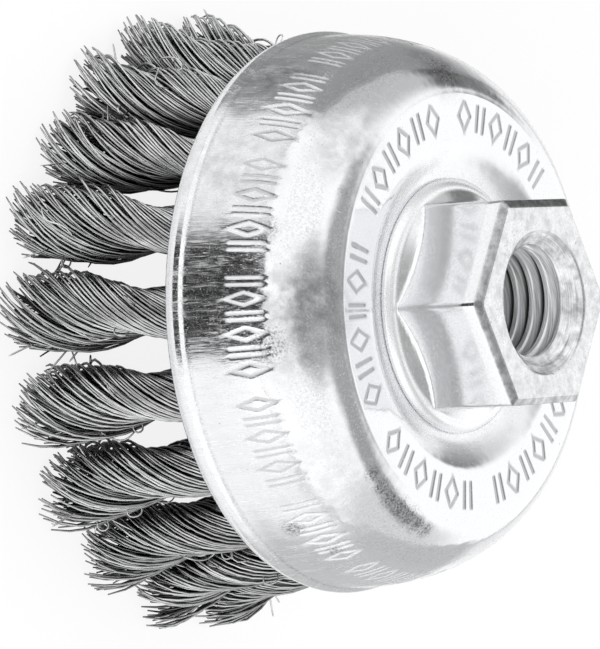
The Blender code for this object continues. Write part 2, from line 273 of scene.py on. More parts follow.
class BrushNutSettings(bpy.types.PropertyGroup):
    """Sizes and colour of the threaded nut."""

    steps_per_flat: bpy.props.IntProperty(
        name="Steps per flat", description="Columns of the nut's surface on one flat", default=40, min=8)
    rows_per_turn: bpy.props.IntProperty(
        name="Rows per turn", description="Rows of the thread's surface in one pitch", default=20, min=8)
    colour: colour_property("Plating", "Colour of the satin plating", "#f0f1f2")


class BrushPlateSettings(bpy.types.PropertyGroup):
    """Colour of the plate that holds the knots."""

    colour: colour_property("Steel", "Colour of the plain pressed steel", "#8e9094")


class BrushKnotSettings(bpy.types.PropertyGroup):
    """Sizes and colour of the wires in the knots."""

    wire_diameter: length_property("Wire diameter", "Thickness of one wire", 0.32)
    wire_spacing: length_property("Wire spacing", "From one wire's middle to the next", 0.36)
    stray_diameter: length_property("Stray diameter", "Thickness of a knot's stray wires", 0.2)
    tip_unevenness: length_property("Tip unevenness", "How much shorter than the knot a wire may be", 1.6)
    steps_per_leg: bpy.props.IntProperty(
        name="Steps per leg", description="Stations along a wire from the plate to its tip",
        default=19, min=6)
    colour: colour_property("Wire", "Colour of the drawn wire", "#f2f3f4")


class BrushStageSettings(bpy.types.PropertyGroup):
    """The camera's place and the strength of the light."""

    camera_aim: bpy.props.FloatVectorProperty(
        name="Camera aim", description="Point that the camera looks at", subtype="TRANSLATION",
        default=(1.17 * MM, 0.0, 17.74 * MM))
    camera_distance: length_property("Camera distance", "From the aim to the lens", 714.3)
    camera_azimuth: angle_property("Camera azimuth", "Round the brush, 0 on the -Y side", -0.11)
    camera_elevation: angle_property("Camera elevation", "Above the floor", 35.46)
    camera_roll: angle_property(
        "Axis rise", "The brush's axis points right in the picture and this much up", 2.87)
    camera_lens: bpy.props.FloatProperty(
        name="Focal length", description="On a 36 mm sensor, in millimetres", default=359.06)
    key_power: bpy.props.FloatProperty(
        name="Key light", description="Power of the soft light behind the camera, in watts", default=4.6)
    top_power: bpy.props.FloatProperty(
        name="Top light", description="Power of the soft light overhead, in watts", default=2.4)


def add_object(name, data):
    """Puts a mesh, a light or a camera in the scene."""
    added = bpy.data.objects.new(name, data)
    bpy.context.scene.collection.objects.link(added)
    return added


def add_piece(name, mesh, material, slot, *nodes):
    """Puts a finished mesh in the scene as a piece that stands for those nodes of the frame."""
    piece = add_object(name, mesh)
    mesh.materials.append(material)
    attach(piece, BODY)
    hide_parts(*nodes)


def mesh_from_faces(name, points, face_groups):
    """A smooth mesh from an array of points and arrays of faces, one array for each number of corners."""
    mesh = bpy.data.meshes.new(name)
    corners = np.concatenate([faces.ravel() for faces in face_groups])
    totals = np.concatenate([np.full(len(faces), faces.shape[1]) for faces in face_groups])
    starts = np.concatenate([[0], np.cumsum(totals)[:-1]])
    mesh.vertices.add(len(points))
    mesh.loops.add(len(corners))
    mesh.polygons.add(len(totals))
    mesh.vertices.foreach_set("co", points.astype(np.float32).ravel())
    mesh.loops.foreach_set("vertex_index", corners.astype(np.int32))
    mesh.polygons.foreach_set("loop_start", starts.astype(np.int32))
    mesh.update(calc_edges=True)
    mesh.shade_smooth()
    return mesh


def ring_mesh(name, points):
    """A closed skin over a grid of points that wraps round both ways, rows by columns."""
    rows, columns = points.shape[:2]
    row = np.arange(rows)[:, None]
    column = np.arange(columns)[None, :]
    next_row, next_column = (row + 1) % rows, (column + 1) % columns
    faces = np.stack([
        row * columns + column,
        row * columns + next_column,
        next_row * columns + next_column,
        next_row * columns + column,
    ], axis=-1).reshape(-1, 4)
    return mesh_from_faces(name, points.reshape(-1, 3), [faces])


def turned_points(radius, height, angle):
    """Grid points from radius and height, each by row and column, and the columns' angle."""
    angle = np.broadcast_to(angle, np.broadcast(radius, angle).shape)
    height = np.broadcast_to(height, angle.shape)
    return np.stack([radius * np.cos(angle), radius * np.sin(angle), height], axis=-1)


def arc(centre, radii, start, end, count):
    """Points (radius, height) along an elliptical arc in degrees, both ends included."""
    turn = np.radians(np.linspace(start, end, count))
    return np.stack([centre[0] + radii[0] * np.cos(turn), centre[1] + radii[1] * np.sin(turn)], axis=1)


def line(start, end, count):
    """Points (radius, height) along a straight line, both ends included."""
    share = np.linspace(0.0, 1.0, count)[:, None]
    return np.array(start) + (np.array(end) - np.array(start)) * share


def join(*stretches):
    """Stretches of points end to end, each point that is given twice kept once."""
    points = np.concatenate(stretches)
    step = np.linalg.norm(np.diff(points, axis=0, append=points[:1]), axis=1)
    return points[step > 0.0001 * MM]


def cup_section():
    """The cup's closed section as (radius, height) points.

    It runs from the rim up the crowned bead, then up wall and shoulder as one quarter
    ellipse, across the end face and down the dish as a smooth step to the centre hole, and
    back inside, one sheet thickness away.
    """
    edge = RIM_BEAD_STEP
    bead_middle = RIM_HEIGHT + RIM_BEAD_HEIGHT / 2 + 0.2 * MM
    foot = (FACE_RADIUS, WALL_FOOT)
    radii = (SHOULDER_WIDTH, WALL_RISE)
    inner_radii = (radii[0] - CUP_WALL, radii[1] - CUP_WALL)
    border = np.degrees(np.arcsin((np.array([WALL_BORDER_LOW, WALL_BORDER_HIGH]) - WALL_FOOT) / radii[1]))
    dish = line((DISH_OUTER_RADIUS, 1.0), (DISH_INNER_RADIUS, 0.0), 9)
    dish[:, 1] = CUP_CENTRE_TOP + DISH_DEPTH * smooth_step(dish[:, 1])
    inner_dish = dish[::-2] - (0.0, CUP_WALL)
    inner_centre = CUP_CENTRE_TOP - CUP_WALL
    return join(
        arc((CUP_RIM_RADIUS - edge - 0.3 * MM, RIM_HEIGHT + edge / 2), (edge, edge / 2), -90, 0, 3),
        arc((CUP_RIM_RADIUS - BEAD_CROWN, bead_middle), (BEAD_CROWN, 1.3 * MM), -46, 50, 7),
        arc(foot, radii, 1.0, border[0], 5),
        arc(foot, radii, border[0], border[1], 26),
        arc(foot, radii, border[1], 87, 18),
        line((FACE_RADIUS + 0.34 * MM, CUP_TOP), (FACE_RADIUS, CUP_TOP), 2),
        line((FACE_RADIUS, CUP_TOP), (FACE_BORDER_INNER, CUP_TOP), 19),
        dish,
        line((DISH_INNER_RADIUS, CUP_CENTRE_TOP), (CENTRE_HOLE_RADIUS, CUP_CENTRE_TOP), 2),
        line((CENTRE_HOLE_RADIUS, inner_centre), (DISH_INNER_RADIUS, inner_centre), 2),
        inner_dish,
        arc(foot, inner_radii, 90, 0, 8),
        line((WALL_FOOT_RADIUS - CUP_WALL, WALL_FOOT - 0.3 * MM), (CUP_RIM_RADIUS - CUP_WALL, RIM_HEIGHT), 2),
    )


def keep_values(mesh, name, values):
    """Gives each point of a mesh a number that a material reads."""
    mesh.attributes.new(name, "FLOAT", "POINT").data.foreach_set("value", values.astype(np.float32))


def band_share(value, low, high):
    """Where a value lies across a band, from -1 at its low edge to 1 at its high edge."""
    return (2.0 * value - low - high) / (high - low)


def border_marks(angle, count, across, stroke):
    """Depth share from 0 to 1 of a plain pressed border: lozenges and pairs of bars in turn.

    count marks go round, and the first of each group is left out. across runs from -1 to 1
    over the band, and stroke is the width of a stroke as a share of one mark's pitch. A
    lozenge is where the distances from its middle, each over its half axis, add up to 1.
    """
    place = angle / math.tau * count
    off_middle = np.abs(np.remainder(place, 1.0) - 0.5)
    half, height = LOZENGE_HALF
    lozenge = np.abs(off_middle / half + np.abs(across) / height - 1.0) * half * LOZENGE_STROKE
    bars = np.hypot(off_middle - BAR_PLACE, np.maximum(np.abs(across) - BAR_HALF, 0.0))
    off_stroke = np.where(np.remainder(place, 2.0) < 1.0, lozenge, bars) / stroke
    start, end = STROKE_FLANK
    pressed = 1.0 - smooth_step((off_stroke - start) / (end - start))
    return np.where(np.remainder(np.floor(place), BORDER_GROUP) < 1.0, 0.0, pressed)


def banded_mesh(name, rows):
    """A closed skin over rings of points, row above row, where a ring may have more columns than the next.

    The column count of the finer ring is a whole multiple of the other's, and each face
    between two such rings takes one step of the coarser ring and all steps of the finer.
    """
    starts = np.cumsum([0] + [len(row) for row in rows])
    faces = {}
    for index, row in enumerate(rows):
        other = (index + 1) % len(rows)
        count, above = len(row), len(rows[other])
        steps = max(count, above) // min(count, above)
        column = np.arange(min(count, above))[:, None]
        low_steps, high_steps = (steps, 1) if count > above else (1, steps)
        low = starts[index] + (column * low_steps + np.arange(low_steps + 1)) % count
        high = starts[other] + (column * high_steps + np.arange(high_steps, -1, -1)) % above
        face = np.concatenate([low, high], axis=1)
        faces.setdefault(face.shape[1], []).append(face)
    return mesh_from_faces(name, np.concatenate(rows), [np.concatenate(group) for group in faces.values()])


def cup_mesh(settings):
    """The cup's section turned round the Z axis, with a plain border pressed into wall and end face.

    The wall's band lies on the outer quarter ellipse, where the distances from its middle,
    each over its half axis, have squares that add up to 1. Each point keeps how deep in a
    stroke it lies, as a share of the full depth.
    """
    face_middle = (FACE_BORDER_OUTER + FACE_BORDER_INNER) / 2
    wall_stroke = settings.stamp_stroke * WALL_BORDER_MARKS / (math.tau * WALL_FOOT_RADIUS)
    face_stroke = settings.stamp_stroke * FACE_STROKE * FACE_BORDER_MARKS / (math.tau * face_middle)
    rows, stamps = [], []
    for radius, height in cup_section():
        up_wall = band_share(height, WALL_BORDER_LOW, WALL_BORDER_HIGH)
        over_face = band_share(radius, FACE_BORDER_INNER, FACE_BORDER_OUTER)
        outer = math.hypot((radius - FACE_RADIUS) / SHOULDER_WIDTH, (height - WALL_FOOT) / WALL_RISE) > 0.99
        on_wall = outer and abs(up_wall) < BAND_EDGE
        on_face = height > CUP_TOP - 0.01 * MM and abs(over_face) < BAND_EDGE
        columns = settings.around * (FINE_COLUMNS if on_wall or on_face else 1)
        angle = np.linspace(0.0, math.tau, columns, endpoint=False)
        stamp = np.zeros(columns)
        if on_wall:
            stamp = border_marks(angle, WALL_BORDER_MARKS, up_wall, wall_stroke)
        if on_face:
            stamp = border_marks(angle, FACE_BORDER_MARKS, over_face, face_stroke)
        depth = settings.stamp_depth * stamp
        rows.append(turned_points(radius - depth * on_wall, height - depth * on_face, angle))
        stamps.append(stamp)
    mesh = banded_mesh("cup_shell", rows)
    keep_values(mesh, "stamp", np.concatenate(stamps))
    return mesh


def hexagon_radius(angle, across_flats, corner_round):
    """How far the hexagon's outline lies from the axis, its corners rounded by an arc.

    On a flat the distance is half the width across flats over the cosine of the angle from
    the flat's middle. Near a corner it is that of a circle which touches both flats.
    """
    corner = np.remainder(angle + math.pi / 2 + math.pi / 6, math.pi / 3) - math.pi / 6
    flat = across_flats / 2 / np.cos(math.pi / 6 - np.abs(corner))
    centre = (across_flats / 2 - corner_round) / math.cos(math.pi / 6)
    touch = math.atan2(corner_round * 0.5, centre + corner_round * math.cos(math.pi / 6))
    sideways = centre * np.sin(corner)
    round_part = centre * np.cos(corner) + np.sqrt(np.maximum(corner_round ** 2 - sideways ** 2, 0.0))
    return np.where(np.abs(corner) < touch, round_part, flat)


def thread_radius(angle, height):
    """Radius of the right-hand inner thread: smooth steps between rounded crests and narrow roots.

    The turn of the helix is the height over the pitch less the angle over a full turn.
    """
    phase = np.remainder((height - NUT_TOP) / THREAD_PITCH - angle / math.tau, 1.0)
    off_root = np.abs(phase - 0.5)
    root_half, crest_start = THREAD_STEPS
    groove = 1.0 - smooth_step((off_root - root_half) / (crest_start - root_half))
    return THREAD_CORE_RADIUS + THREAD_DEPTH * groove


def nut_mesh(settings):
    """The nut as one closed grid: collar, hexagon, front face, countersink, thread and rivet head."""
    steps = settings.steps_per_flat
    share = (np.arange(steps) + 0.5) / steps
    within = math.pi / 6 * np.sin((share - 0.5) * math.pi)
    flats = -math.pi / 2 + math.pi / 6 + math.pi / 3 * np.arange(6)
    angle = (flats[:, None] + within[None, :]).reshape(1, -1)
    collar_top = COLLAR_FOOT + COLLAR_HEIGHT
    corner_radius = NUT_ACROSS_FLATS / math.sqrt(3)
    cone_top_radius = NUT_ACROSS_FLATS / 2 - 1.0 * MM
    soft = NUT_SOFT_EDGE

    collar = join(
        line((SPIGOT_RADIUS, COLLAR_SEAT), (COLLAR_RADIUS - soft, COLLAR_SEAT), 2),
        arc((COLLAR_RADIUS - soft, COLLAR_SEAT + soft), (soft, soft), -90, 0, 3),
        arc((COLLAR_RADIUS - soft, COLLAR_FOOT + soft), (soft, soft), 0, 20, 2),
        line((COLLAR_RADIUS - COLLAR_SLOPE + soft, collar_top - soft), (corner_radius + soft, collar_top), 3),
    )
    rows = [turned_points(collar[:, :1], collar[:, 1:], angle)]

    cone = line((corner_radius, collar_top), (cone_top_radius, collar_top + COLLAR_CONE_RISE), 9)
    body = hexagon_radius(angle, NUT_ACROSS_FLATS, NUT_CORNER_ROUND)
    blend = 0.15 * MM
    over = np.clip(0.5 + 0.5 * (cone[:, :1] - body) / blend, 0.0, 1.0)
    foot = body + (cone[:, :1] - body) * over + blend * over * (1.0 - over)
    rows.append(turned_points(foot, cone[:, 1:], angle))

    side = np.linspace(collar_top + COLLAR_CONE_RISE + 0.2 * MM, NUT_TOP - NUT_EDGE_HEIGHT, 6)[:, None]
    rows.append(turned_points(np.repeat(body, len(side), axis=0), side, angle))

    edge = [hexagon_radius(angle, NUT_ACROSS_FLATS - 2 * inset * NUT_EDGE_WIDTH, NUT_CORNER_ROUND)
            for inset, rise in NUT_BEVEL]
    rise = np.array([[NUT_TOP - NUT_EDGE_HEIGHT * (1.0 - rise)] for inset, rise in NUT_BEVEL])
    rows.append(turned_points(np.concatenate(edge), rise, angle))

    inwards = np.linspace(0.0, 1.0, 6)[1:-1, None]
    front = edge[-1] + (MOUTH_RADIUS + 0.1 * MM - edge[-1]) * inwards
    rows.append(turned_points(front, np.full((len(inwards), 1), NUT_TOP), angle))

    length = NUT_TOP - RIVET_UNDER
    count = int(length / THREAD_PITCH * settings.rows_per_turn)
    height = np.linspace(NUT_TOP, RIVET_UNDER, count)[:, None]
    mouth = MOUTH_RADIUS - (MOUTH_RADIUS - THREAD_CORE_RADIUS) * (NUT_TOP - height) / MOUTH_DEPTH
    rows.append(turned_points(np.maximum(thread_radius(angle, height), mouth), height, angle))

    head_top = RIVET_UNDER + RIVET_HEAD_HEIGHT
    rivet = join(
        arc((RIVET_HEAD_RADIUS - 0.6 * MM, RIVET_UNDER + 0.6 * MM), (0.6 * MM, 0.6 * MM), -90, 0, 5),
        line((RIVET_HEAD_RADIUS, head_top), (SPIGOT_RADIUS, head_top), 2),
    )
    rows.append(turned_points(rivet[:, :1], rivet[:, 1:], angle))
    return ring_mesh("nut_body", np.concatenate(rows)[::-1])


def wire_places(spacing):
    """Where the wires lie in one leg's half-round section, as (ray, share of the outline).

    They lie in half rings, one wire apart, from the outside in. A wire at ray r and share s
    lies s cos r times the leg's depth and s sin r times its half width from the middle of
    its flat side, and the rays are spaced so that the wires of a ring lie evenly.
    """
    mean_radius = (KNOT_HALF_DEPTH + KNOT_HALF_WIDTH) / 2 - spacing / 2
    fine = np.linspace(-math.pi / 2, math.pi / 2, 181)
    speed = np.hypot(KNOT_HALF_DEPTH * np.sin(fine), KNOT_HALF_WIDTH * np.cos(fine))
    length = np.concatenate([[0.0], np.cumsum((speed[1:] + speed[:-1]) / 2)])
    length /= length[-1]
    rays, shares = [], []
    radius = mean_radius
    while radius > spacing * 1.5:
        count = int(math.pi * radius / spacing)
        edge = 0.35 / count
        rays.append(np.interp(np.linspace(edge, 1.0 - edge, count), length, fine))
        shares.append(np.full(count, radius / mean_radius))
        radius -= spacing
    return np.concatenate(rays), np.concatenate(shares)


def leg_paths(side, ray, share, level, loose, lean, thickness):
    """The wires of one leg below the plate, by wire and station.

    side is 0 outside the plate and 1 in its slot. level is how far down each station lies,
    from 0 at the plate to 1 at the floor. The leg turns round the knot's axis by the knot's
    twist times the level, and by a root twist of 1 - (1 - level) ** n more, tight below the
    plate. Its half ellipse falls back in a groove where the two legs meet and opens out
    evenly below the cup's rim. The tips are bent by the lean and each wire's own splay,
    which grow as powers of the length below the rim.
    """
    height = TWIST_START * (1.0 - level)
    sinking = np.clip((TWIST_START - height) / (TWIST_START - RIM_HEIGHT), 0.0, 1.0)
    below = np.clip(1.0 - height / RIM_HEIGHT, 0.0, 1.0)
    fold_depth = FOLD_OFFSET + LEG_THICKNESS
    half_depth = fold_depth + (KNOT_HALF_DEPTH - fold_depth) * sinking
    half_depth = half_depth + (TIP_HALF_DEPTH - half_depth) * below - thickness / 2
    half_width = SLOT_HALF_WIDTH + (KNOT_HALF_WIDTH - SLOT_HALF_WIDTH) * sinking
    half_width = half_width + (TIP_HALF_WIDTH - half_width) * below - thickness / 2
    offset = (FOLD_OFFSET + thickness / 2) * (1.0 - sinking) + thickness * 0.4 * sinking
    bunches = (size * np.sin(waves * ray + start) for size, waves, start in loose["bunches"])
    bunch = sum(bunches, np.zeros_like(ray))
    ray = (ray + loose["ray"])[:, None] + bunch[:, None] * level + loose["drift"] * level ** 3
    share = np.minimum(share[:, None] * (1.0 + loose["share"] * below), 1.05)
    share = share * (1.0 - LEG_GROOVE * sinking * (1.0 - 0.7 * below) * np.sin(ray) ** 4)
    depth = offset + share * np.cos(ray) * (half_depth - offset)
    width = share * np.sin(ray) * half_width
    root = 1.0 - (1.0 - level) ** ROOT_TWIST_POWER
    turn = math.pi * side - KNOT_TWIST * level - ROOT_TWIST * root + loose["phase"] * sinking
    radial = depth * np.cos(turn) - width * np.sin(turn)
    tangential = depth * np.sin(turn) + width * np.cos(turn)
    radial = radial + lean[0] * below ** 1.5 + loose["splay"][:, :1] * below ** 2
    tangential = tangential + lean[1] * below ** 1.5 + loose["splay"][:, 1:] * below ** 2
    axis_radius = FOLD_RING_RADIUS + (TIP_RING_RADIUS - FOLD_RING_RADIUS) * level
    return np.stack([axis_radius + radial, tangential, height], axis=-1)


def fold_paths(ray, share, diameter):
    """The wires over the plate's web, as half circles round the web's top from the slot to the outside."""
    depth = FOLD_OFFSET + diameter / 2 + share * np.cos(ray) * (LEG_THICKNESS - diameter)
    width = share * np.sin(ray) * (SLOT_HALF_WIDTH - diameter / 2)
    swing = np.radians([180, 120, 60, 0])[None, :]
    return np.stack([
        FOLD_RING_RADIUS + depth[:, None] * np.cos(swing),
        np.broadcast_to(width[:, None], (len(width), swing.shape[1])),
        PLATE_TOP + depth[:, None] * np.sin(swing),
    ], axis=-1)


# A leg whose wires all lie in their places
EVEN_LEG = {"bunches": (), "ray": 0.0, "drift": 0.0, "share": 0.0, "splay": np.zeros((1, 2)), "phase": 0.0}


def loose_wires(random, count, phase):
    """How the wires of one leg stray: bunched, drifted round, pushed out or in, and splayed."""
    return {
        "splay": np.clip(random.standard_t(3.0, (count, 2)), -5.0, 5.0) * TIP_SPLAY,
        "bunches": [(size, waves, random.uniform(0.0, math.tau)) for size, waves in WIRE_BUNCHES],
        "ray": random.normal(0.0, WIRE_PUSH, count),
        "drift": random.normal(0.0, WIRE_DRIFT, (count, 1)),
        "share": random.normal(0.0, WIRE_BULGE, (count, 1)),
        "phase": phase,
    }


def knot_paths(settings, random, lean):
    """Every folded wire of one knot on the +X side, from the tip inside to the tip outside."""
    ray, share = wire_places(settings.wire_spacing)
    steps = np.linspace(0.0, 1.0, settings.steps_per_leg)[None, :]
    phase = random.normal(0.0, KNOT_TURN_SPREAD)
    least_cut, cut_spread = TIP_CUT
    legs = []
    for side, hand in ((0, 1.0), (1, -1.0)):
        cut = (least_cut + random.gamma(2.0, cut_spread, (len(ray), 1))) * settings.tip_unevenness
        loose = loose_wires(random, len(ray), phase)
        level = steps * (1.0 - cut / TWIST_START)
        legs.append(leg_paths(side, hand * ray, share, level, loose, lean, settings.wire_diameter))
    fold = fold_paths(ray, share, settings.wire_diameter)
    return np.concatenate([legs[1][:, ::-1], fold, legs[0]], axis=1)


def unit(vectors):
    """Vectors made one long."""
    return vectors / np.linalg.norm(vectors, axis=-1, keepdims=True)


def square_to(vectors, along):
    """Vectors made square to others that are one long, and one long themselves."""
    return unit(vectors - (vectors * along).sum(axis=-1, keepdims=True) * along)


def stray_paths(random, lean, thickness):
    """Thin stray wires of one knot: small curls, long shallow arcs and straight spikes.

    Each starts at a place on the knot's surface, with T along the wires there and N out of
    the knot. With t from 0 to 1 a curl is T times its length times (t - 1/2 - a factor times
    sin 2 pi t) plus N times its height times sin pi t, both ends sunk in the knot. An arc is
    the same with a factor of 0, and a spike runs straight along a mix of T and N.
    """
    count = sum(STRAYS_PER_KNOT)
    kind = np.repeat([0, 1, 2], STRAYS_PER_KNOT)[:, None]
    side = random.integers(0, 2, (count, 1))
    ray = random.uniform(-STRAY_RAY, STRAY_RAY, count)
    start = random.uniform(*STRAY_START, (count, 1))
    start = np.where(kind == 2, random.uniform(*SPIKE_START, (count, 1)), start)
    level = start + np.array([[-0.02, 0.0, 0.02]])
    near = leg_paths(side, ray, np.ones(count), level, EVEN_LEG, lean, thickness)
    place = near[:, 1:2]
    along = unit(near[:, 2:3] - near[:, :1])
    axis_radius = FOLD_RING_RADIUS + (TIP_RING_RADIUS - FOLD_RING_RADIUS) * start[:, 0]
    outwards, sideways = STRAY_LEAN * lean[0], STRAY_LEAN * lean[1]
    axis = np.stack([axis_radius + outwards, np.full(count, sideways), place[:, 0, 2]], axis=-1)
    out = square_to(place - axis[:, None], along)
    across = np.cross(along, out)
    t = np.linspace(0.0, 1.0, 10)[None, :, None]
    kind = kind[:, None]

    def drawn(least, most):
        return random.uniform(least, most, kind.shape)

    length = np.choose(kind, [drawn(*CURL_LENGTH), drawn(*ARC_LENGTH), 1.0]) * MM
    height = np.choose(kind, [drawn(*CURL_HEIGHT), drawn(*ARC_HEIGHT), 1.0]) * MM
    bow = along * length * (t - 0.5 - np.where(kind == 0, CURL_LOOP, 0.0) * np.sin(math.tau * t))
    bow = bow + out * (height * np.sin(math.pi * t) - STRAY_SINK)
    bow = bow + across * length * STRAY_SWING * np.sin(math.tau * t) * drawn(-1.0, 1.0)
    reach = drawn(*SPIKE_LENGTH) * MM
    spike = (along * drawn(0.3, 1.0) + out * drawn(0.5, 1.0)) * reach * t
    paths = place + np.where(kind == 2, spike, bow)
    paths[..., 2] = np.maximum(paths[..., 2], thickness)
    return paths, across


def held_in(paths, margin):
    """Draws points that reach past the frame's box back inside it."""
    limit = min(frame_box[1][0], frame_box[1][1]) - margin
    paths[..., :2] *= np.minimum(1.0, limit / np.hypot(paths[..., 0], paths[..., 1]))[..., None]
    return paths


def tube_parts(paths, sideways, radius, sides):
    """Round tubes along paths, by tube and station, closed at both ends and thinner there.

    Each ring lies square to its path. Its first spoke is the sideways direction made square
    to the path, and the second is square to both. Gives the points and the faces by number
    of corners.
    """
    along = unit(np.gradient(paths, axis=1))
    first = square_to(sideways, along)
    second = np.cross(along, first)
    turn = np.linspace(0.0, math.tau, sides, endpoint=False)
    spokes = first[:, :, None] * np.cos(turn)[:, None] + second[:, :, None] * np.sin(turn)[:, None]
    taper = np.ones(paths.shape[1])
    taper[[0, 1, -2, -1]] = TIP_TAPER[0], TIP_TAPER[1], TIP_TAPER[1], TIP_TAPER[0]
    points = paths[:, :, None] + spokes * (radius * taper)[:, None, None]
    tubes, stations = paths.shape[:2]
    base = (np.arange(tubes) * stations * sides)[:, None, None]
    station = (np.arange(stations - 1) * sides)[None, :, None]
    side = np.arange(sides)[None, None, :]
    a = base + station + side
    b = base + station + (side + 1) % sides
    quads = np.stack([a, b, b + sides, a + sides], axis=-1).reshape(-1, 4)
    start = base[:, 0] + np.arange(sides)[None, ::-1]
    end = base[:, 0] + (stations - 1) * sides + np.arange(sides)
    return points.reshape(-1, 3), [quads, np.concatenate([start, end])]


def off_axis(places, lean):
    """How far places lie from their knot's axis, which bends with the lean, along X and Y."""
    sinking = np.clip(places[..., 2] / TWIST_START, 0.0, 1.0)
    below = np.clip(1.0 - places[..., 2] / RIM_HEIGHT, 0.0, 1.0)
    axis_radius = TIP_RING_RADIUS + (FOLD_RING_RADIUS - TIP_RING_RADIUS) * sinking
    radial = places[..., 0] - axis_radius - lean[0] * below ** 1.5
    sideways = places[..., 1] - lean[1] * below ** 1.5 + 0.001 * MM
    return np.stack([radial, sideways, np.zeros_like(radial)], axis=-1)


def knot_mesh(name, settings, random, lean):
    """One knot on the +X side as one mesh: its wires and its strays.

    Each point keeps two numbers: its strand's own shade at random, and how bright it is painted,
    1 on the outermost wires where they face away from the brush's axis. A painted highlight runs
    along the outward side of each wire, and painted shade lies on the inner wires and where a
    knot faces its neighbours and the hollow between the knots.
    """
    wires = held_in(knot_paths(settings, random, lean), settings.wire_diameter)
    strays, across = stray_paths(random, lean, settings.wire_diameter)
    strays = held_in(strays, settings.wire_diameter)
    sides = len(WIRE_PAINTED_LIGHT)
    points, faces = tube_parts(wires, off_axis(wires, lean), settings.wire_diameter / 2, sides)
    thin_points, thin_faces = tube_parts(strays, across, settings.stray_diameter / 2, STRAY_SIDES)
    faces += [group + len(points) for group in thin_faces]
    every_point = np.concatenate([points, thin_points])
    mesh = mesh_from_faces(name, every_point, faces)
    repeats = np.repeat([wires.shape[1] * sides, strays.shape[1] * STRAY_SIDES], [len(wires), len(strays)])
    # Painted shade on the inner wires
    outside = np.concatenate([wire_places(settings.wire_spacing)[1], np.ones(len(strays))])
    outside = (np.repeat(outside, repeats) - INNER_SHARE) / (1.0 - INNER_SHARE)
    outside = INNER_PAINTED_SHADE + (1.0 - INNER_PAINTED_SHADE) * smooth_step(outside)
    # Painted shade on the sides that face the brush's axis and the neighbouring knots
    off = off_axis(every_point, lean)
    facing = off[:, 0] / np.linalg.norm(off, axis=1)
    clean = outside * (BACK_PAINTED_SHADE + (1.0 - BACK_PAINTED_SHADE) * smooth_step(facing + 0.6))
    # Painted highlight on each wire's outward side, painted shade on its other sides
    clean[:len(points)] *= np.tile(WIRE_PAINTED_LIGHT, len(points) // sides)
    keep_values(mesh, "strand", np.repeat(random.random(len(repeats)), repeats))
    keep_values(mesh, "clean", clean)
    return mesh


def set_inputs(tree, node, inputs):
    """Links each input of a node that is given a socket and sets each that is given a value.

    The inputs go by name or number, or come in the node's own order.
    """
    named = inputs if isinstance(inputs, dict) else dict(enumerate(inputs))
    for key, value in named.items():
        if isinstance(value, bpy.types.NodeSocket):
            tree.links.new(value, node.inputs[key])
        else:
            node.inputs[key].default_value = value


def add_node(tree, kind, inputs=(), output=0, **settings):
    """Adds one node with its settings and inputs, and gives the output that is asked for."""
    node = tree.nodes.new("ShaderNode" + kind)
    for name, value in settings.items():
        setattr(node, name, value)
    set_inputs(tree, node, inputs)
    return node.outputs[output] if node.outputs else None


def join_layers(tree, operation, *layers):
    """Joins layers, which are sockets or numbers, one after another by a mathematical operation."""
    joined = layers[0]
    for layer in layers[1:]:
        joined = add_node(tree, "Math", (joined, layer), operation=operation)
    return joined


def join_shares(tree, operation, layers, shares):
    """Joins the layers that are named in shares, each times its share."""
    return join_layers(tree, operation, *(
        join_layers(tree, "MULTIPLY", getattr(layers, name), share) for name, share in shares.items()))


def new_metal(name, colour, roughness):
    """An empty metal material, and its tree, shader and object coordinates."""
    material = bpy.data.materials.new(name)
    material.use_nodes = True
    tree = material.node_tree
    shader = tree.nodes["Principled BSDF"]
    set_inputs(tree, shader, {"Base Color": (*colour, 1.0), "Metallic": 1.0, "Roughness": roughness})
    return material, tree, shader, add_node(tree, "TexCoord", (), "Object")


def grain(tree, place, size, detail, seed, low=None, high=None, turn=(0.0, 0.0, 0.0)):
    """Noise with grains of a size in millimetres along each axis, turned by degrees.

    Where two of its levels are given, the lower becomes 0 and the higher 1.
    """
    turn = [math.radians(part) for part in turn]
    size = [part * MM for part in size]
    laid = add_node(tree, "Mapping", (place, (seed * MM, 0.0, 0.0), turn, size), vector_type="TEXTURE")
    settings = {"Vector": laid, "Scale": 1.0, "Detail": detail, "Roughness": 0.6}
    noise = add_node(tree, "TexNoise", settings, "Fac")
    return noise if low is None else add_node(tree, "MapRange", (noise, low, high))


def seen_layers(tree, place, grains, levels):
    """A material's layers by name: its grains, and levels that are each taken from one of them.

    A level runs from 0 to 1, or between its last two numbers, where the grain runs between
    its first two.
    """
    layers = SimpleNamespace(**{name: grain(tree, place, *row) for name, row in grains.items()})
    for name, (source, *ends) in levels.items():
        setattr(layers, name, add_node(tree, "MapRange", (getattr(layers, source), *ends)))
    return layers


def scratches(tree, place, turns, width, length, level):
    """Fine straight scratches along several directions: the tops of noise that is stretched out thin."""
    return join_layers(tree, "MAXIMUM", *(
        grain(tree, place, (width, width, length), 1.0, 37.0 * index, level, level + 0.03, turn)
        for index, turn in enumerate(turns)))


def near_places(tree, place, spots, core):
    """A layer that is each spot's share in its core, which is a share of its reach, and 0 past its reach."""
    found = []
    for centre, reach, share in spots:
        centre = [part * MM for part in centre]
        away = add_node(tree, "VectorMath", (place, centre), "Value", operation="DISTANCE")
        found.append(add_node(tree, "MapRange", (away, reach * MM, core * reach * MM, 0.0, share)))
    return join_layers(tree, "MAXIMUM", *found)


def axis_distance(tree, place):
    """How far the surface lies from the Z axis."""
    flat = add_node(tree, "VectorMath", (place, (1.0, 1.0, 0.0)), operation="MULTIPLY")
    return add_node(tree, "VectorMath", (flat,), "Value", operation="LENGTH")
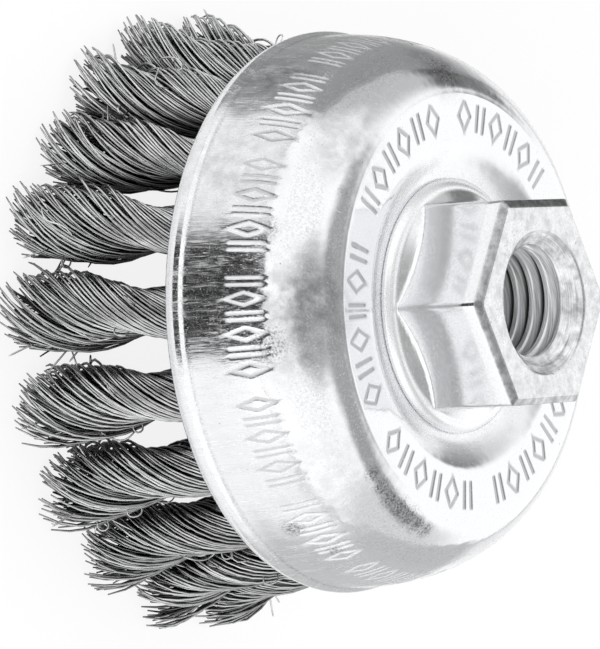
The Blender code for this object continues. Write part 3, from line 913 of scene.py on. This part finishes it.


# Places on the cup as (x, y, z) and how far each reaches, in millimetres, and its share from 0
# to 1: mottled patches of painted reflection, where the cup mirrors dark surroundings, spots of grime,
# and where the border's strokes get more painted shade
PAINTED_REFLECTION_PATCHES = (
    ((-1.0, -27.0, 37.3), 7.5, 0.5), ((3.5, -27.5, 36.5), 5.0, 0.4), ((-16.0, -25.5, 28.0), 8.0, 0.3),
    ((-17.0, -19.0, 38.5), 6.0, 0.3), ((-26.0, -15.5, 27.5), 6.0, 0.5),
    ((18.0, -22.0, 35.5), 9.0, 0.2), ((-26.0, -1.0, 38.0), 5.0, 0.5),
)
GRIME_SPOTS = (
    ((3.2, -29.3, 34.6), 3.4, 1.0), ((-9.5, -28.2, 34.2), 2.0, 1.0), ((-4.5, -25.8, 37.6), 0.7, 1.0),
    ((-12.5, -21.0, 38.6), 1.2, 1.0), ((22.8, -19.3, 29.3), 1.8, 1.0), ((25.8, -15.0, 31.5), 1.3, 1.0),
    ((-25.6, -0.5, 38.5), 3.6, 1.0), ((17.4, -18.2, 39.1), 1.3, 1.0), ((18.8, -16.7, 39.1), 1.5, 1.0),
    ((20.1, -15.1, 39.0), 1.7, 1.0), ((21.2, -13.4, 39.0), 1.8, 1.0), ((22.2, -11.8, 39.0), 1.8, 1.0),
    ((23.1, -10.2, 38.9), 1.6, 1.0), ((23.9, -8.6, 38.8), 1.4, 1.0),
)
PAINTED_SHADE_STROKES = (((13.0, -26.5, 31.5), 12.0, 0.5), ((-16.0, -24.5, 31.5), 7.0, 0.5))

# Share of its reach within which a place is at its full
PATCH_CORE = 0.3
GRIME_CORE = 0.35
STROKES_CORE = 0.6

# Patterns on the cup: the size of their grains along x, y and z in millimetres, their detail,
# where they start, and the levels that become 0 and 1, where they aren't used as they are. The
# draw lines and specks are coarser than real ones, so that they show in the render
CUP_GRAINS = {
    "fine_lines": ((0.16, 0.16, 16.0), 2.0, 0.0),
    "broad_lines": ((0.9, 0.9, 20.0), 3.0, 11.0),
    "long_lines": ((0.12, 0.12, 30.0), 1.0, 31.0, 0.68, 0.74),
    "clouds": ((4.0, 4.0, 4.0), 4.0, 0.0, 0.35, 0.65),
    "fine_mottle": ((0.25, 0.25, 0.25), 5.0, 0.0, 0.45, 0.7),
    "speckle": ((0.22, 0.22, 0.3), 3.0, 41.0, 0.48, 0.75),
    "specks": ((0.3, 0.3, 0.3), 2.0, 5.0, 0.68, 0.74),
    "dirty": ((5.0, 5.0, 5.0), 2.0, 23.0, 0.52, 0.64),
    "grit": ((0.25, 0.25, 0.25), 4.0, 71.0, 0.4, 0.62),
    "cloudy": ((1.6, 1.6, 1.6), 5.0, 81.0, 0.35, 0.62),
    "waves": ((3.5, 3.5, 3.5), 2.0, 3.0),
}
CUP_LEVELS = {
    "crisp_lines": ("fine_lines", 0.42, 0.7),
    "lined_places": ("broad_lines", 0.4, 0.6),
    "streaked_places": ("broad_lines", 0.45, 0.65),
    "broken_groove": ("speckle", 0.0, 0.3, 0.5, 1.0),
}

# Turns of the scratches in degrees, their width and length in millimetres, and their level
CUP_SCRATCHES = ((8, 0, 0), (70, 15, 0), (-50, 40, 0), (20, 80, 10)), 0.09, 9.0, 0.76

# Where a finish fades in, as the height or radius where it isn't seen yet and the one where it
# is full, with one pair for each side of the shoulder
WALL_FADE = (34.5 * MM, 33.0 * MM)
SHOULDER_FADES = ((33.8 * MM, 35.5 * MM), (38.9 * MM, 38.0 * MM))
DISH_FADE = (DISH_OUTER_RADIUS - 0.3 * MM, DISH_INNER_RADIUS + 1.2 * MM)

# The groove over the bead, which is made darker in broken specks, and how far from it that isn't seen yet and
# is full
GROOVE_HEIGHT = WALL_FOOT - 0.15 * MM
GROOVE_FADE = (0.35 * MM, 0.05 * MM)

# How much of the mottle is seen off the shoulder and of the specks where the cup is clean, and
# how grey the painted shade in the border's pressed strokes is on the end face and on the wall
PLAIN_MOTTLE = 0.3
CLEAN_SPECKS = 0.12
STROKE_GREY = (0.5, 0.15)

# What each layer adds to the cup's roughness, how far it wears the mirror off and how far it
# takes the colour to that of grime and painted shade, and what it adds to the fine and to the broad relief
CUP_ROUGH = {"clouds": 0.08, "drawn": 0.3, "mottle": 0.14, "marks": 0.3, "dish": 0.14}
CUP_WORN = {"drawn": 0.5, "speckle": 0.22, "dish": 0.5, "marks": 0.7, "wall_strokes": 1.0}
CUP_DARKENING = {
    "shoulder_mottle": 0.25, "grime": 0.8, "strokes": 1.0, "patches": 1.0, "groove": 0.3, "streaks": 0.08,
}
CUP_RELIEF = {"wall_lines": 2.0, "marks": -0.6}
CUP_WAVES = {"waves": 1.0, "shoulder_mottle": 0.04}
CUP_GRIME_AND_SHADE = "#55565a"

# Roughness of the cup's clean plating, and how metallic the plating is where it is worn
PLATING_ROUGHNESS = 0.06
WORN_METALLIC = 0.2


def bright_zinc_plate(settings):
    """Bright zinc plate on deep-drawn steel.

    The eye sees a mirror with soft clouds in its gloss, fine draw lines up the wall, a mottled
    shoulder, a few crossing scratches and specks of grime. Mottled patches of painted reflection
    darken it where it mirrors dark surroundings, and painted shade greys the pressed border's
    strokes.
    """
    material, tree, shader, place = new_metal("bright_zinc_plate", settings.colour, 0.1)
    node = partial(add_node, tree)
    product, most, total = (partial(join_layers, tree, name) for name in ("MULTIPLY", "MAXIMUM", "ADD"))
    layer = seen_layers(tree, place, CUP_GRAINS, CUP_LEVELS)
    height = node("SeparateXYZ", (place,), "Z")
    wall = node("MapRange", (height, *WALL_FADE))
    shoulder = product(*(node("MapRange", (height, *ends)) for ends in SHOULDER_FADES))
    layer.dish = node("MapRange", (axis_distance(tree, place), *DISH_FADE))
    layer.drawn = product(most(product(layer.crisp_lines, layer.lined_places), layer.long_lines), wall)
    layer.mottle = product(layer.fine_mottle, most(shoulder, PLAIN_MOTTLE))
    layer.shoulder_mottle = product(layer.mottle, shoulder)
    layer.marks = scratches(tree, place, *CUP_SCRATCHES)

    stamp = node("Attribute", (), "Fac", attribute_name="stamp")
    layer.wall_strokes = product(stamp, wall)
    layer.wall_lines = product(layer.fine_lines, wall)
    grey = node("MapRange", (wall, 0.0, 1.0, *STROKE_GREY))
    # Painted shade in the pressed border's strokes, greyer on the end face and in a few places
    layer.strokes = product(stamp, most(grey, near_places(tree, place, PAINTED_SHADE_STROKES, STROKES_CORE)))
    specks = product(layer.specks, most(layer.dirty, CLEAN_SPECKS))
    layer.grime = most(specks, product(layer.grit, near_places(tree, place, GRIME_SPOTS, GRIME_CORE)))
    # Painted reflection: mottled patches of darker colour where the cup mirrors dark surroundings
    layer.patches = product(layer.cloudy, near_places(tree, place, PAINTED_REFLECTION_PATCHES, PATCH_CORE))
    off_groove = node("Math", (total(height, -GROOVE_HEIGHT),), operation="ABSOLUTE")
    layer.groove = product(node("MapRange", (off_groove, *GROOVE_FADE)), layer.broken_groove)
    layer.streaks = product(layer.streaked_places, wall)

    # Grime and specks, painted reflection and painted shade take the colour towards a dark tone
    grime = join_shares(tree, "MAXIMUM", layer, CUP_DARKENING)
    worn = join_shares(tree, "MAXIMUM", layer, CUP_WORN)
    relief = join_shares(tree, "ADD", layer, CUP_RELIEF)
    bump = node("Bump", {"Strength": 0.3, "Distance": 0.02 * MM, "Height": relief})
    waves = join_shares(tree, "ADD", layer, CUP_WAVES)
    clean, dirty = (*settings.colour, 1.0), (*linear(CUP_GRIME_AND_SHADE), 1.0)
    set_inputs(tree, shader, {
        "Base Color": node("Mix", {0: grime, 6: clean, 7: dirty}, 2, data_type="RGBA"),
        "Metallic": node("MapRange", (worn, 0.0, 1.0, 1.0, WORN_METALLIC)),
        "Roughness": total(join_shares(tree, "ADD", layer, CUP_ROUGH), PLATING_ROUGHNESS),
        "Normal": node("Bump", {"Strength": 0.8, "Distance": 0.08 * MM, "Height": waves, "Normal": bump}),
    })
    return material


# The nut's patterns, levels, scratches and shares, given as the cup's are, with what each
# layer adds to its relief
NUT_GRAINS = {
    "grain": ((0.3, 0.3, 0.3), 5.0, 0.0),
    "clouds": ((3.0, 3.0, 3.0), 3.0, 9.0),
    "thread_lines": ((6.0, 6.0, 0.1), 2.0, 15.0),
    "fine_nicks": ((0.35, 0.7, 0.4), 3.0, 51.0, 0.57, 0.66, (0, 0, 30)),
    "nicked_places": ((4.0, 4.0, 4.0), 2.0, 61.0, 0.42, 0.6),
    "blotches": ((1.1, 1.1, 1.1), 5.0, 71.0, 0.35, 0.65),
}
NUT_LEVELS = {
    "cloudy": ("clouds", 0.3, 0.7, 0.06, 0.15),
    "rough_grain": ("grain", 0.4, 0.7),
    "worn_grain": ("grain", 0.45, 0.7),
    "dull_grain": ("grain", 0.4, 0.65),
    "worn_lines": ("thread_lines", 0.35, 0.65, 0.45, 1.0),
    "dull_lines": ("thread_lines", 0.35, 0.65, 0.35, 0.0),
    "front_blotches": ("blotches", 0.0, 1.0, 0.08, 0.4),
    "bevel_blotches": ("blotches", 0.0, 1.0, 0.3, 0.7),
    "mouth_blotches": ("blotches", 0.0, 1.0, 0.1, 0.62),
}
NUT_SCRATCHES = ((80, 20, 0), (35, -60, 0), (10, 60, 30)), 0.1, 4.0, 0.75
NUT_ROUGH = {"cloudy": 1.0, "rough_grain": 0.08, "marks": 0.25, "collar": 0.14}
NUT_WORN = {"worn_grain": 0.2, "marks": 0.5, "worn_thread": 1.0, "collar": 0.4}
NUT_DARKENING = {"grainy": 0.3, "nicks": 0.6, "front": 1.0, "bevel": 1.0, "thread": 1.0, "mouth": 1.0}
NUT_RELIEF = {"grain": 1.0, "marks": -0.7, "nicks": -2.0, "thread_ridges": 1.0}
NUT_GRIME_AND_SHADE = "#606165"
# Near black colour of the painted shade in the thread's roots
ROOT_PAINTED_SHADE = "#1c1c1d"

# How much of the nicks and the dull grain is seen off the front face
SIDE_SHARE = 0.15

# Where the finishes and the painted shade on the worn edge fade in, as the depth below the front
# face in millimetres where each isn't seen yet and the one where it is full, and the same for the
# painted shade in the thread's roots as shares of the thread's depth
FRONT_FADE = (0.5, 0.05)
BEVEL_FADES = ((0.7, 0.55), (0.04, 0.1))
MOUTH_FADE = (2.4, 1.4)
THREAD_FADE = (2.2, 3.2)
ROOT_FADE = (0.7, 0.95)


def satin_zinc_plate(settings):
    """Zinc plate on a forged and milled nut.

    The eye sees nearly polished flats that mirror the cup softly, a grainy front face with nicks
    and dull spots, and fine lines along the thread. Painted shade darkens the worn edge round
    the front face and the thread's roots.
    """
    material, tree, shader, place = new_metal("satin_zinc_plate", settings.colour, 0.14)
    node = partial(add_node, tree)
    product, most = (partial(join_layers, tree, name) for name in ("MULTIPLY", "MAXIMUM"))
    layer = seen_layers(tree, place, NUT_GRAINS, NUT_LEVELS)
    height = node("SeparateXYZ", (place,), "Z")
    radius = axis_distance(tree, place)
    front, from_below, from_above, countersink, thread = (
        node("MapRange", (height, *(NUT_TOP - depth * MM for depth in ends)))
        for ends in (FRONT_FADE, *BEVEL_FADES, MOUTH_FADE, THREAD_FADE))
    inside = node("MapRange", (radius, MOUTH_RADIUS, MOUTH_RADIUS - 0.1 * MM))
    outside = node("MapRange", (radius, MOUTH_RADIUS + 0.1 * MM, MOUTH_RADIUS + 0.2 * MM))
    collar_top = COLLAR_FOOT + COLLAR_HEIGHT
    layer.collar = product(node("MapRange", (height, collar_top + 0.2 * MM, collar_top)), outside)
    near_root = (THREAD_CORE_RADIUS + share * THREAD_DEPTH for share in ROOT_FADE)
    # Painted shade in the thread's roots
    roots = product(inside, thread, node("MapRange", (radius, *near_root)))
    layer.marks = scratches(tree, place, *NUT_SCRATCHES)
    mostly_front = most(front, SIDE_SHARE)
    layer.nicks = product(layer.fine_nicks, layer.nicked_places, mostly_front)
    layer.grainy = product(layer.dull_grain, mostly_front)
    layer.worn_thread = product(layer.worn_lines, inside)
    layer.thread = product(layer.dull_lines, inside)
    layer.thread_ridges = product(layer.thread_lines, inside)
    layer.front = product(front, layer.front_blotches)
    # Painted shade on the worn edge round the front face, blotchy
    layer.bevel = product(from_below, from_above, outside, layer.bevel_blotches)
    layer.mouth = product(inside, countersink, layer.mouth_blotches)

    # Grime and wear, and the painted shade on the worn edge, take the colour towards a dark tone
    grime = join_shares(tree, "MAXIMUM", layer, NUT_DARKENING)
    colours = (settings.colour, linear(NUT_GRIME_AND_SHADE), linear(ROOT_PAINTED_SHADE))
    clean, dirty, black = ((*colour, 1.0) for colour in colours)
    shade = node("Mix", {0: grime, 6: clean, 7: dirty}, 2, data_type="RGBA")
    worn = join_shares(tree, "MAXIMUM", layer, NUT_WORN)
    relief = join_shares(tree, "ADD", layer, NUT_RELIEF)
    set_inputs(tree, shader, {
        "Base Color": node("Mix", {0: roots, 6: shade, 7: black}, 2, data_type="RGBA"),
        "Metallic": node("MapRange", (worn, 0.0, 1.0, 1.0, WORN_METALLIC)),
        "Roughness": join_shares(tree, "ADD", layer, NUT_ROUGH),
        "Normal": node("Bump", {"Strength": 0.25, "Distance": 0.02 * MM, "Height": relief}),
    })
    return material


def plain_pressed_steel(settings):
    """Plain pressed steel of the plate that holds the knots.

    The eye sees oiled, dull, faintly clouded grey.
    """
    material, tree, shader, place = new_metal("plain_pressed_steel", settings.colour, 0.42)
    clouds = grain(tree, place, (2.0, 2.0, 2.0), 4.0, 0.0)
    set_inputs(tree, shader, {"Roughness": add_node(tree, "MapRange", (clouds, 0.0, 1.0, 0.3, 0.5))})
    return material


# How bright the dullest and the brightest strand are, and what the darkest and the lightest
# smear of oil add
STRAND_LIGHT = (0.72, 1.1)
SMEAR_LIGHT = (-0.25, 0.03)


def drawn_steel_wire(settings):
    """Drawn carbon steel wire.

    The eye sees bright glossy lines with a painted highlight along each, some brighter than
    others, and painted shade on the wires between and under them.
    """
    material, tree, shader, place = new_metal("drawn_steel_wire", settings.colour, 0.24)
    node = partial(add_node, tree)
    strand, clean = (node("Attribute", (), "Fac", attribute_name=name) for name in ("strand", "clean"))
    smears = grain(tree, place, (1.2, 1.2, 2.5), 3.0, 0.0, 0.3, 0.7)
    strand, smears = (node("MapRange", (layer, 0.0, 1.0, *ends))
                      for layer, ends in ((strand, STRAND_LIGHT), (smears, SMEAR_LIGHT)))
    # The painted highlight and painted shade that each point keeps scale the wire's colour
    light = join_layers(tree, "MULTIPLY", join_layers(tree, "ADD", strand, smears), clean)
    shade = node("VectorMath", {0: settings.colour, "Scale": light}, operation="SCALE")
    set_inputs(tree, shader, {"Base Color": shade})
    return material


class BRUSH_OT_cup(bpy.types.Operator):
    """Builds the bright pressed cup"""

    bl_idname = "brush.cup"
    bl_label = "Cup"

    def execute(self, context):
        settings = context.scene.brush_cup
        add_piece("cup_shell", cup_mesh(settings), bright_zinc_plate(settings), "cup_steel", "cup")
        return {"FINISHED"}


class BRUSH_OT_nut(bpy.types.Operator):
    """Builds the hexagon nut with its thread"""

    bl_idname = "brush.nut"
    bl_label = "Threaded nut"

    def execute(self, context):
        settings = context.scene.brush_nut
        add_piece("nut_body", nut_mesh(settings), satin_zinc_plate(settings), "nut_steel", "threaded_nut")
        return {"FINISHED"}


class BRUSH_OT_plate(bpy.types.Operator):
    """Finishes the plate that holds the knots"""

    bl_idname = "brush.plate"
    bl_label = "Knot plate"

    def execute(self, context):
        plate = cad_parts["knot_plate"]
        plate.data.materials.clear()
        plate.data.materials.append(plain_pressed_steel(context.scene.brush_plate))
        return {"FINISHED"}


class BRUSH_OT_knots(bpy.types.Operator):
    """Builds the ring of twisted knots, wire by wire"""

    bl_idname = "brush.knots"
    bl_label = "Wire knots"

    def execute(self, context):
        settings = context.scene.brush_knots
        material = drawn_steel_wire(settings)
        for index, node in enumerate(KNOT_NAMES):
            random = np.random.default_rng(SEED + index)
            name = f"wire_{node}"
            lean = [part * MM for part in KNOT_LEANS[index % len(KNOT_LEANS)]]
            mesh = knot_mesh(name, settings, random, lean)
            mesh.transform(Matrix.Rotation(FIRST_KNOT_ANGLE + math.tau * index / KNOT_COUNT, 4, "Z"))
            add_piece(name, mesh, material, "wire_steel", node)
        return {"FINISHED"}


class BRUSH_OT_stage(bpy.types.Operator):
    """Sets up the floor, the soft lights and the camera"""

    bl_idname = "brush.stage"
    bl_label = "Stage"

    def execute(self, context):
        settings = context.scene.brush_stage
        build_floor()
        build_world()
        for name, (corners, level) in DARK_CARDS.items():
            build_dark_card(name, corners, level)
        add_soft_light("key_light", *KEY_LIGHT, settings.key_power)
        add_soft_light("top_light", *TOP_LIGHT, settings.top_power)
        build_camera(settings)
        return {"FINISHED"}


WHITE = (1.0, 1.0, 1.0, 1.0)

# The floor's half size and its level, just under the wire tips, its own grey, and how bright
# it glows where it is seen and where metal mirrors it
FLOOR_HALF = 1.5
FLOOR_LEVEL = -0.05 * MM
PAPER_GREY = (0.8, 0.8, 0.8, 1.0)
PAPER_GLOW = (0.86, 0.2)

# Level of the even light all round
WORLD_LEVEL = 0.6

# Where each soft light stands, what it points at and its width and height, in metres
KEY_LIGHT = (0.22, -0.62, 0.38), (0.0, 0.0, 0.02), (0.5, 0.4)
TOP_LIGHT = (-0.1, 0.15, 0.7), (0.0, 0.0, 0.03), (0.5, 0.4)

# Soft patches that polished metal sees in the studio round it: where each lies, how far its
# even middle and its soft edge reach in degrees, and its level, where 1 is white
STUDIO_WHITE = 1.2
STUDIO_PATCHES = (
    ((0.0, -0.64, 0.77), 15, 32, 0.50), ((0.0, 0.15, 0.99), 20, 38, 0.42), ((-0.82, 0.55, 0.1), 22, 50, 0.6),
    ((-0.56, 0.82, 0.05), 9, 18, 0.14), ((-0.4, 0.85, 0.3), 7, 15, 0.2), ((0.85, 0.35, 0.3), 14, 34, 0.8),
    ((0.5, 0.25, 0.82), 8, 20, 0.42), ((0.7, 0.42, 0.58), 7, 17, 0.4), ((-0.84, -0.05, 0.54), 8, 20, 1.12),
    ((0.85, -0.5, 0.08), 12, 30, 1.3), ((-0.25, -0.93, 0.25), 7, 14, 1.3),
)

# Dark cards round the brush, low near it and rising outwards, seen only in polished metal and
# only from above, so the wires don't mirror them: their corners near left, near right, far
# right and far left as (x, y, z) in millimetres, and their level, where 1 is white
DARK_CARDS = {
    "front_card": (((-30.6, -45.7, 6.9), (11.9, -53.7, 6.4), (189, -602, 85), (-458, -567, 85)), 0.035),
    "side_card": (((-37.0, 40.7, 2.0), (-48.6, -25.7, 8.2), (-518, -75, 85), (-150, 560, 85)), 0.34),
    "low_card": (((45.9, -30.3, 4.2), (40.2, 37.6, 2.0), (250, 380, 85), (445, 0, 85)), 0.6),
}
CARD_STEPS = 24

# Where a card's soft edges start and end, along its width and its length from 0 to 1: softer
# on its left and far away than on its right and near the brush
CARD_EDGES = (("X", 0.0, 0.3), ("X", 1.0, 0.9), ("Y", 0.0, 0.002), ("Y", 1.0, 0.7))


def new_tree(owner):
    """The empty node tree of a material or a world."""
    owner.use_nodes = True
    owner.node_tree.nodes.clear()
    return owner.node_tree


def build_seen_share(tree, seen, mirrored):
    """One share for rays seen or let through, one for mirrored rays, and 0 for the rest."""
    rays = ("Is Camera Ray", "Is Transmission Ray", "Is Glossy Ray")
    camera, through, glossy = (add_node(tree, "LightPath", (), name) for name in rays)
    direct = join_layers(tree, "MULTIPLY", join_layers(tree, "MAXIMUM", camera, through), seen)
    return join_layers(tree, "MAXIMUM", direct, join_layers(tree, "MULTIPLY", glossy, mirrored))


def build_floor():
    """A wide pale floor that reads as white and keeps a faint shadow of the brush."""
    mesh = bpy.data.meshes.new("floor")
    corners = [(x * FLOOR_HALF, y * FLOOR_HALF, FLOOR_LEVEL) for x, y in ((-1, -1), (1, -1), (1, 1), (-1, 1))]
    mesh.from_pydata(corners, [], [(0, 1, 2, 3)])
    material = bpy.data.materials.new("white_paper")
    tree = new_tree(material)
    paper = add_node(tree, "BsdfDiffuse", (PAPER_GREY,))
    glow = add_node(tree, "Emission", (WHITE, 1.0))
    mix = add_node(tree, "MixShader", (build_seen_share(tree, *PAPER_GLOW), paper, glow))
    add_node(tree, "OutputMaterial", (mix,))
    floor = add_object("floor", mesh)
    mesh.materials.append(material)


def build_world():
    """Even pale light all round, and a white studio with soft grey patches where metal mirrors it."""
    world = bpy.data.worlds.new("studio")
    bpy.context.scene.world = world
    tree = new_tree(world)
    plain = add_node(tree, "Background", (WHITE, WORLD_LEVEL))
    white = add_node(tree, "Background", (WHITE, 1.0))
    mix = add_node(tree, "MixShader", (build_seen_share(tree, 1.0, 1.0), plain, white))
    ray = add_node(tree, "TexCoord", (), "Generated")
    level = STUDIO_WHITE
    for place, middle, edge, brightness in STUDIO_PATCHES:
        place = Vector(place).normalized()
        facing = add_node(tree, "VectorMath", (ray, place), "Value", operation="DOT_PRODUCT")
        ends = (math.cos(math.radians(reach)) for reach in (edge, middle))
        inside = add_node(tree, "MapRange", (facing, *ends), interpolation_type="SMOOTHSTEP")
        level = add_node(tree, "Mix", {0: inside, 2: level, 3: brightness}, data_type="FLOAT")
    mirrored = add_node(tree, "Background", (WHITE, level))
    glossy = add_node(tree, "LightPath", (), "Is Glossy Ray")
    add_node(tree, "OutputWorld", (add_node(tree, "MixShader", (glossy, mix, mirrored)),))


def build_dark_card(name, corners, level):
    """A card with soft edges, ruled from its near edge to its far edge, finer near the brush."""
    near_left, near_right, far_right, far_left = (np.array(corner) * MM for corner in corners)
    steps = np.linspace(0.0, 1.0, CARD_STEPS + 1)
    across, out = np.meshgrid(steps, steps ** 2)
    place = np.stack([across, out], axis=-1)
    across, out = across[..., None], out[..., None]
    points = (near_left * (1 - across) + near_right * across) * (1 - out)
    points = points + (far_left * (1 - across) + far_right * across) * out
    first = (np.arange(CARD_STEPS)[:, None] * (CARD_STEPS + 1) + np.arange(CARD_STEPS)).reshape(-1, 1)
    faces = first + np.array([[0, CARD_STEPS + 1, CARD_STEPS + 2, 1]])
    mesh = mesh_from_faces(name, points.reshape(-1, 3), [faces])
    mesh.uv_layers.new(name="card").data.foreach_set("uv", place.reshape(-1, 2)[faces.ravel()].ravel())
    material = bpy.data.materials.new(name)
    tree = new_tree(material)
    laid = add_node(tree, "UVMap")
    edges = [add_node(tree, "MapRange", (add_node(tree, "SeparateXYZ", (laid,), axis), start, end),
                      interpolation_type="SMOOTHSTEP") for axis, start, end in CARD_EDGES]
    above = join_layers(tree, "SUBTRACT", 1.0, add_node(tree, "NewGeometry", (), "Backfacing"))
    soft = join_layers(tree, "MULTIPLY", *edges, above)
    clear = add_node(tree, "BsdfTransparent")
    grey = add_node(tree, "Emission", (WHITE, level))
    add_node(tree, "OutputMaterial", (add_node(tree, "MixShader", (soft, clear, grey)),))
    card = add_object(name, mesh)
    mesh.materials.append(material)
    for ray in ("camera", "diffuse", "shadow", "transmission"):
        setattr(card, "visible_" + ray, False)


def add_soft_light(name, place, aim, size, power):
    """A square soft light that points at its aim and isn't seen by the camera or in metal."""
    lamp = bpy.data.lights.new(name, "AREA")
    lamp.shape = "RECTANGLE"
    lamp.size, lamp.size_y = size
    lamp.energy = power
    light = add_object(name, lamp)
    light.location = place
    light.rotation_mode = "QUATERNION"
    light.rotation_quaternion = (Vector(aim) - Vector(place)).to_track_quat("-Z", "Y")
    light.visible_camera = False
    light.visible_glossy = False


def build_camera(settings):
    """The camera at the photograph's angle, with the brush's axis pointing right in the picture."""
    azimuth, elevation, roll = settings.camera_azimuth, settings.camera_elevation, settings.camera_roll
    back = Vector((
        math.sin(azimuth) * math.cos(elevation),
        -math.cos(azimuth) * math.cos(elevation),
        math.sin(elevation),
    ))
    level = Vector((math.cos(azimuth), math.sin(azimuth), 0.0))
    rise = back.cross(level)
    picture_right = math.cos(roll) * rise + math.sin(roll) * level
    picture_up = math.sin(roll) * rise - math.cos(roll) * level
    lens = bpy.data.cameras.new("camera")
    lens.sensor_width = 36.0
    lens.lens = settings.camera_lens
    lens.clip_start = 0.05
    lens.clip_end = 10.0
    camera = add_object("camera", lens)
    place = Vector(settings.camera_aim) + back * settings.camera_distance
    turn = Matrix((picture_right, picture_up, back)).transposed().to_4x4()
    camera.matrix_world = Matrix.Translation(place) @ turn
    bpy.context.scene.camera = camera


class BRUSH_PT_sidebar(bpy.types.Panel):
    """Lists the brush's pieces with their sizes and colours"""

    bl_label = "Wire Cup Brush"
    bl_idname = "BRUSH_PT_sidebar"
    bl_space_type = "VIEW_3D"
    bl_region_type = "UI"
    bl_category = "Cup Brush"

    def draw(self, context):
        for operator, group in PANEL_ROWS:
            box = self.layout.box()
            box.operator(operator)
            for name in SETTINGS[group].__annotations__:
                box.prop(getattr(context.scene, group), name)


PANEL_ROWS = (
    ("brush.cup", "brush_cup"),
    ("brush.nut", "brush_nut"),
    ("brush.plate", "brush_plate"),
    ("brush.knots", "brush_knots"),
    ("brush.stage", "brush_stage"),
)
SETTINGS = {
    "brush_cup": BrushCupSettings,
    "brush_nut": BrushNutSettings,
    "brush_plate": BrushPlateSettings,
    "brush_knots": BrushKnotSettings,
    "brush_stage": BrushStageSettings,
}
CLASSES = (
    *SETTINGS.values(),
    BRUSH_OT_cup,
    BRUSH_OT_nut,
    BRUSH_OT_plate,
    BRUSH_OT_knots,
    BRUSH_OT_stage,
    BRUSH_PT_sidebar,
)


def register():
    """Registers the classes and gives the scene its settings."""
    for cls in CLASSES:
        bpy.utils.register_class(cls)
    for name, group in SETTINGS.items():
        setattr(bpy.types.Scene, name, bpy.props.PointerProperty(type=group))


def unregister():
    """Takes the settings and classes away again."""
    for name in SETTINGS:
        delattr(bpy.types.Scene, name)
    for cls in reversed(CLASSES):
        bpy.utils.unregister_class(cls)


def main():
    """Builds every piece and the stage."""
    register()
    bpy.context.scene.view_settings.view_transform = "Standard"
    bpy.ops.brush.cup()
    bpy.ops.brush.nut()
    bpy.ops.brush.plate()
    bpy.ops.brush.knots()
    bpy.ops.brush.stage()


if __name__ == "__main__":
    main()
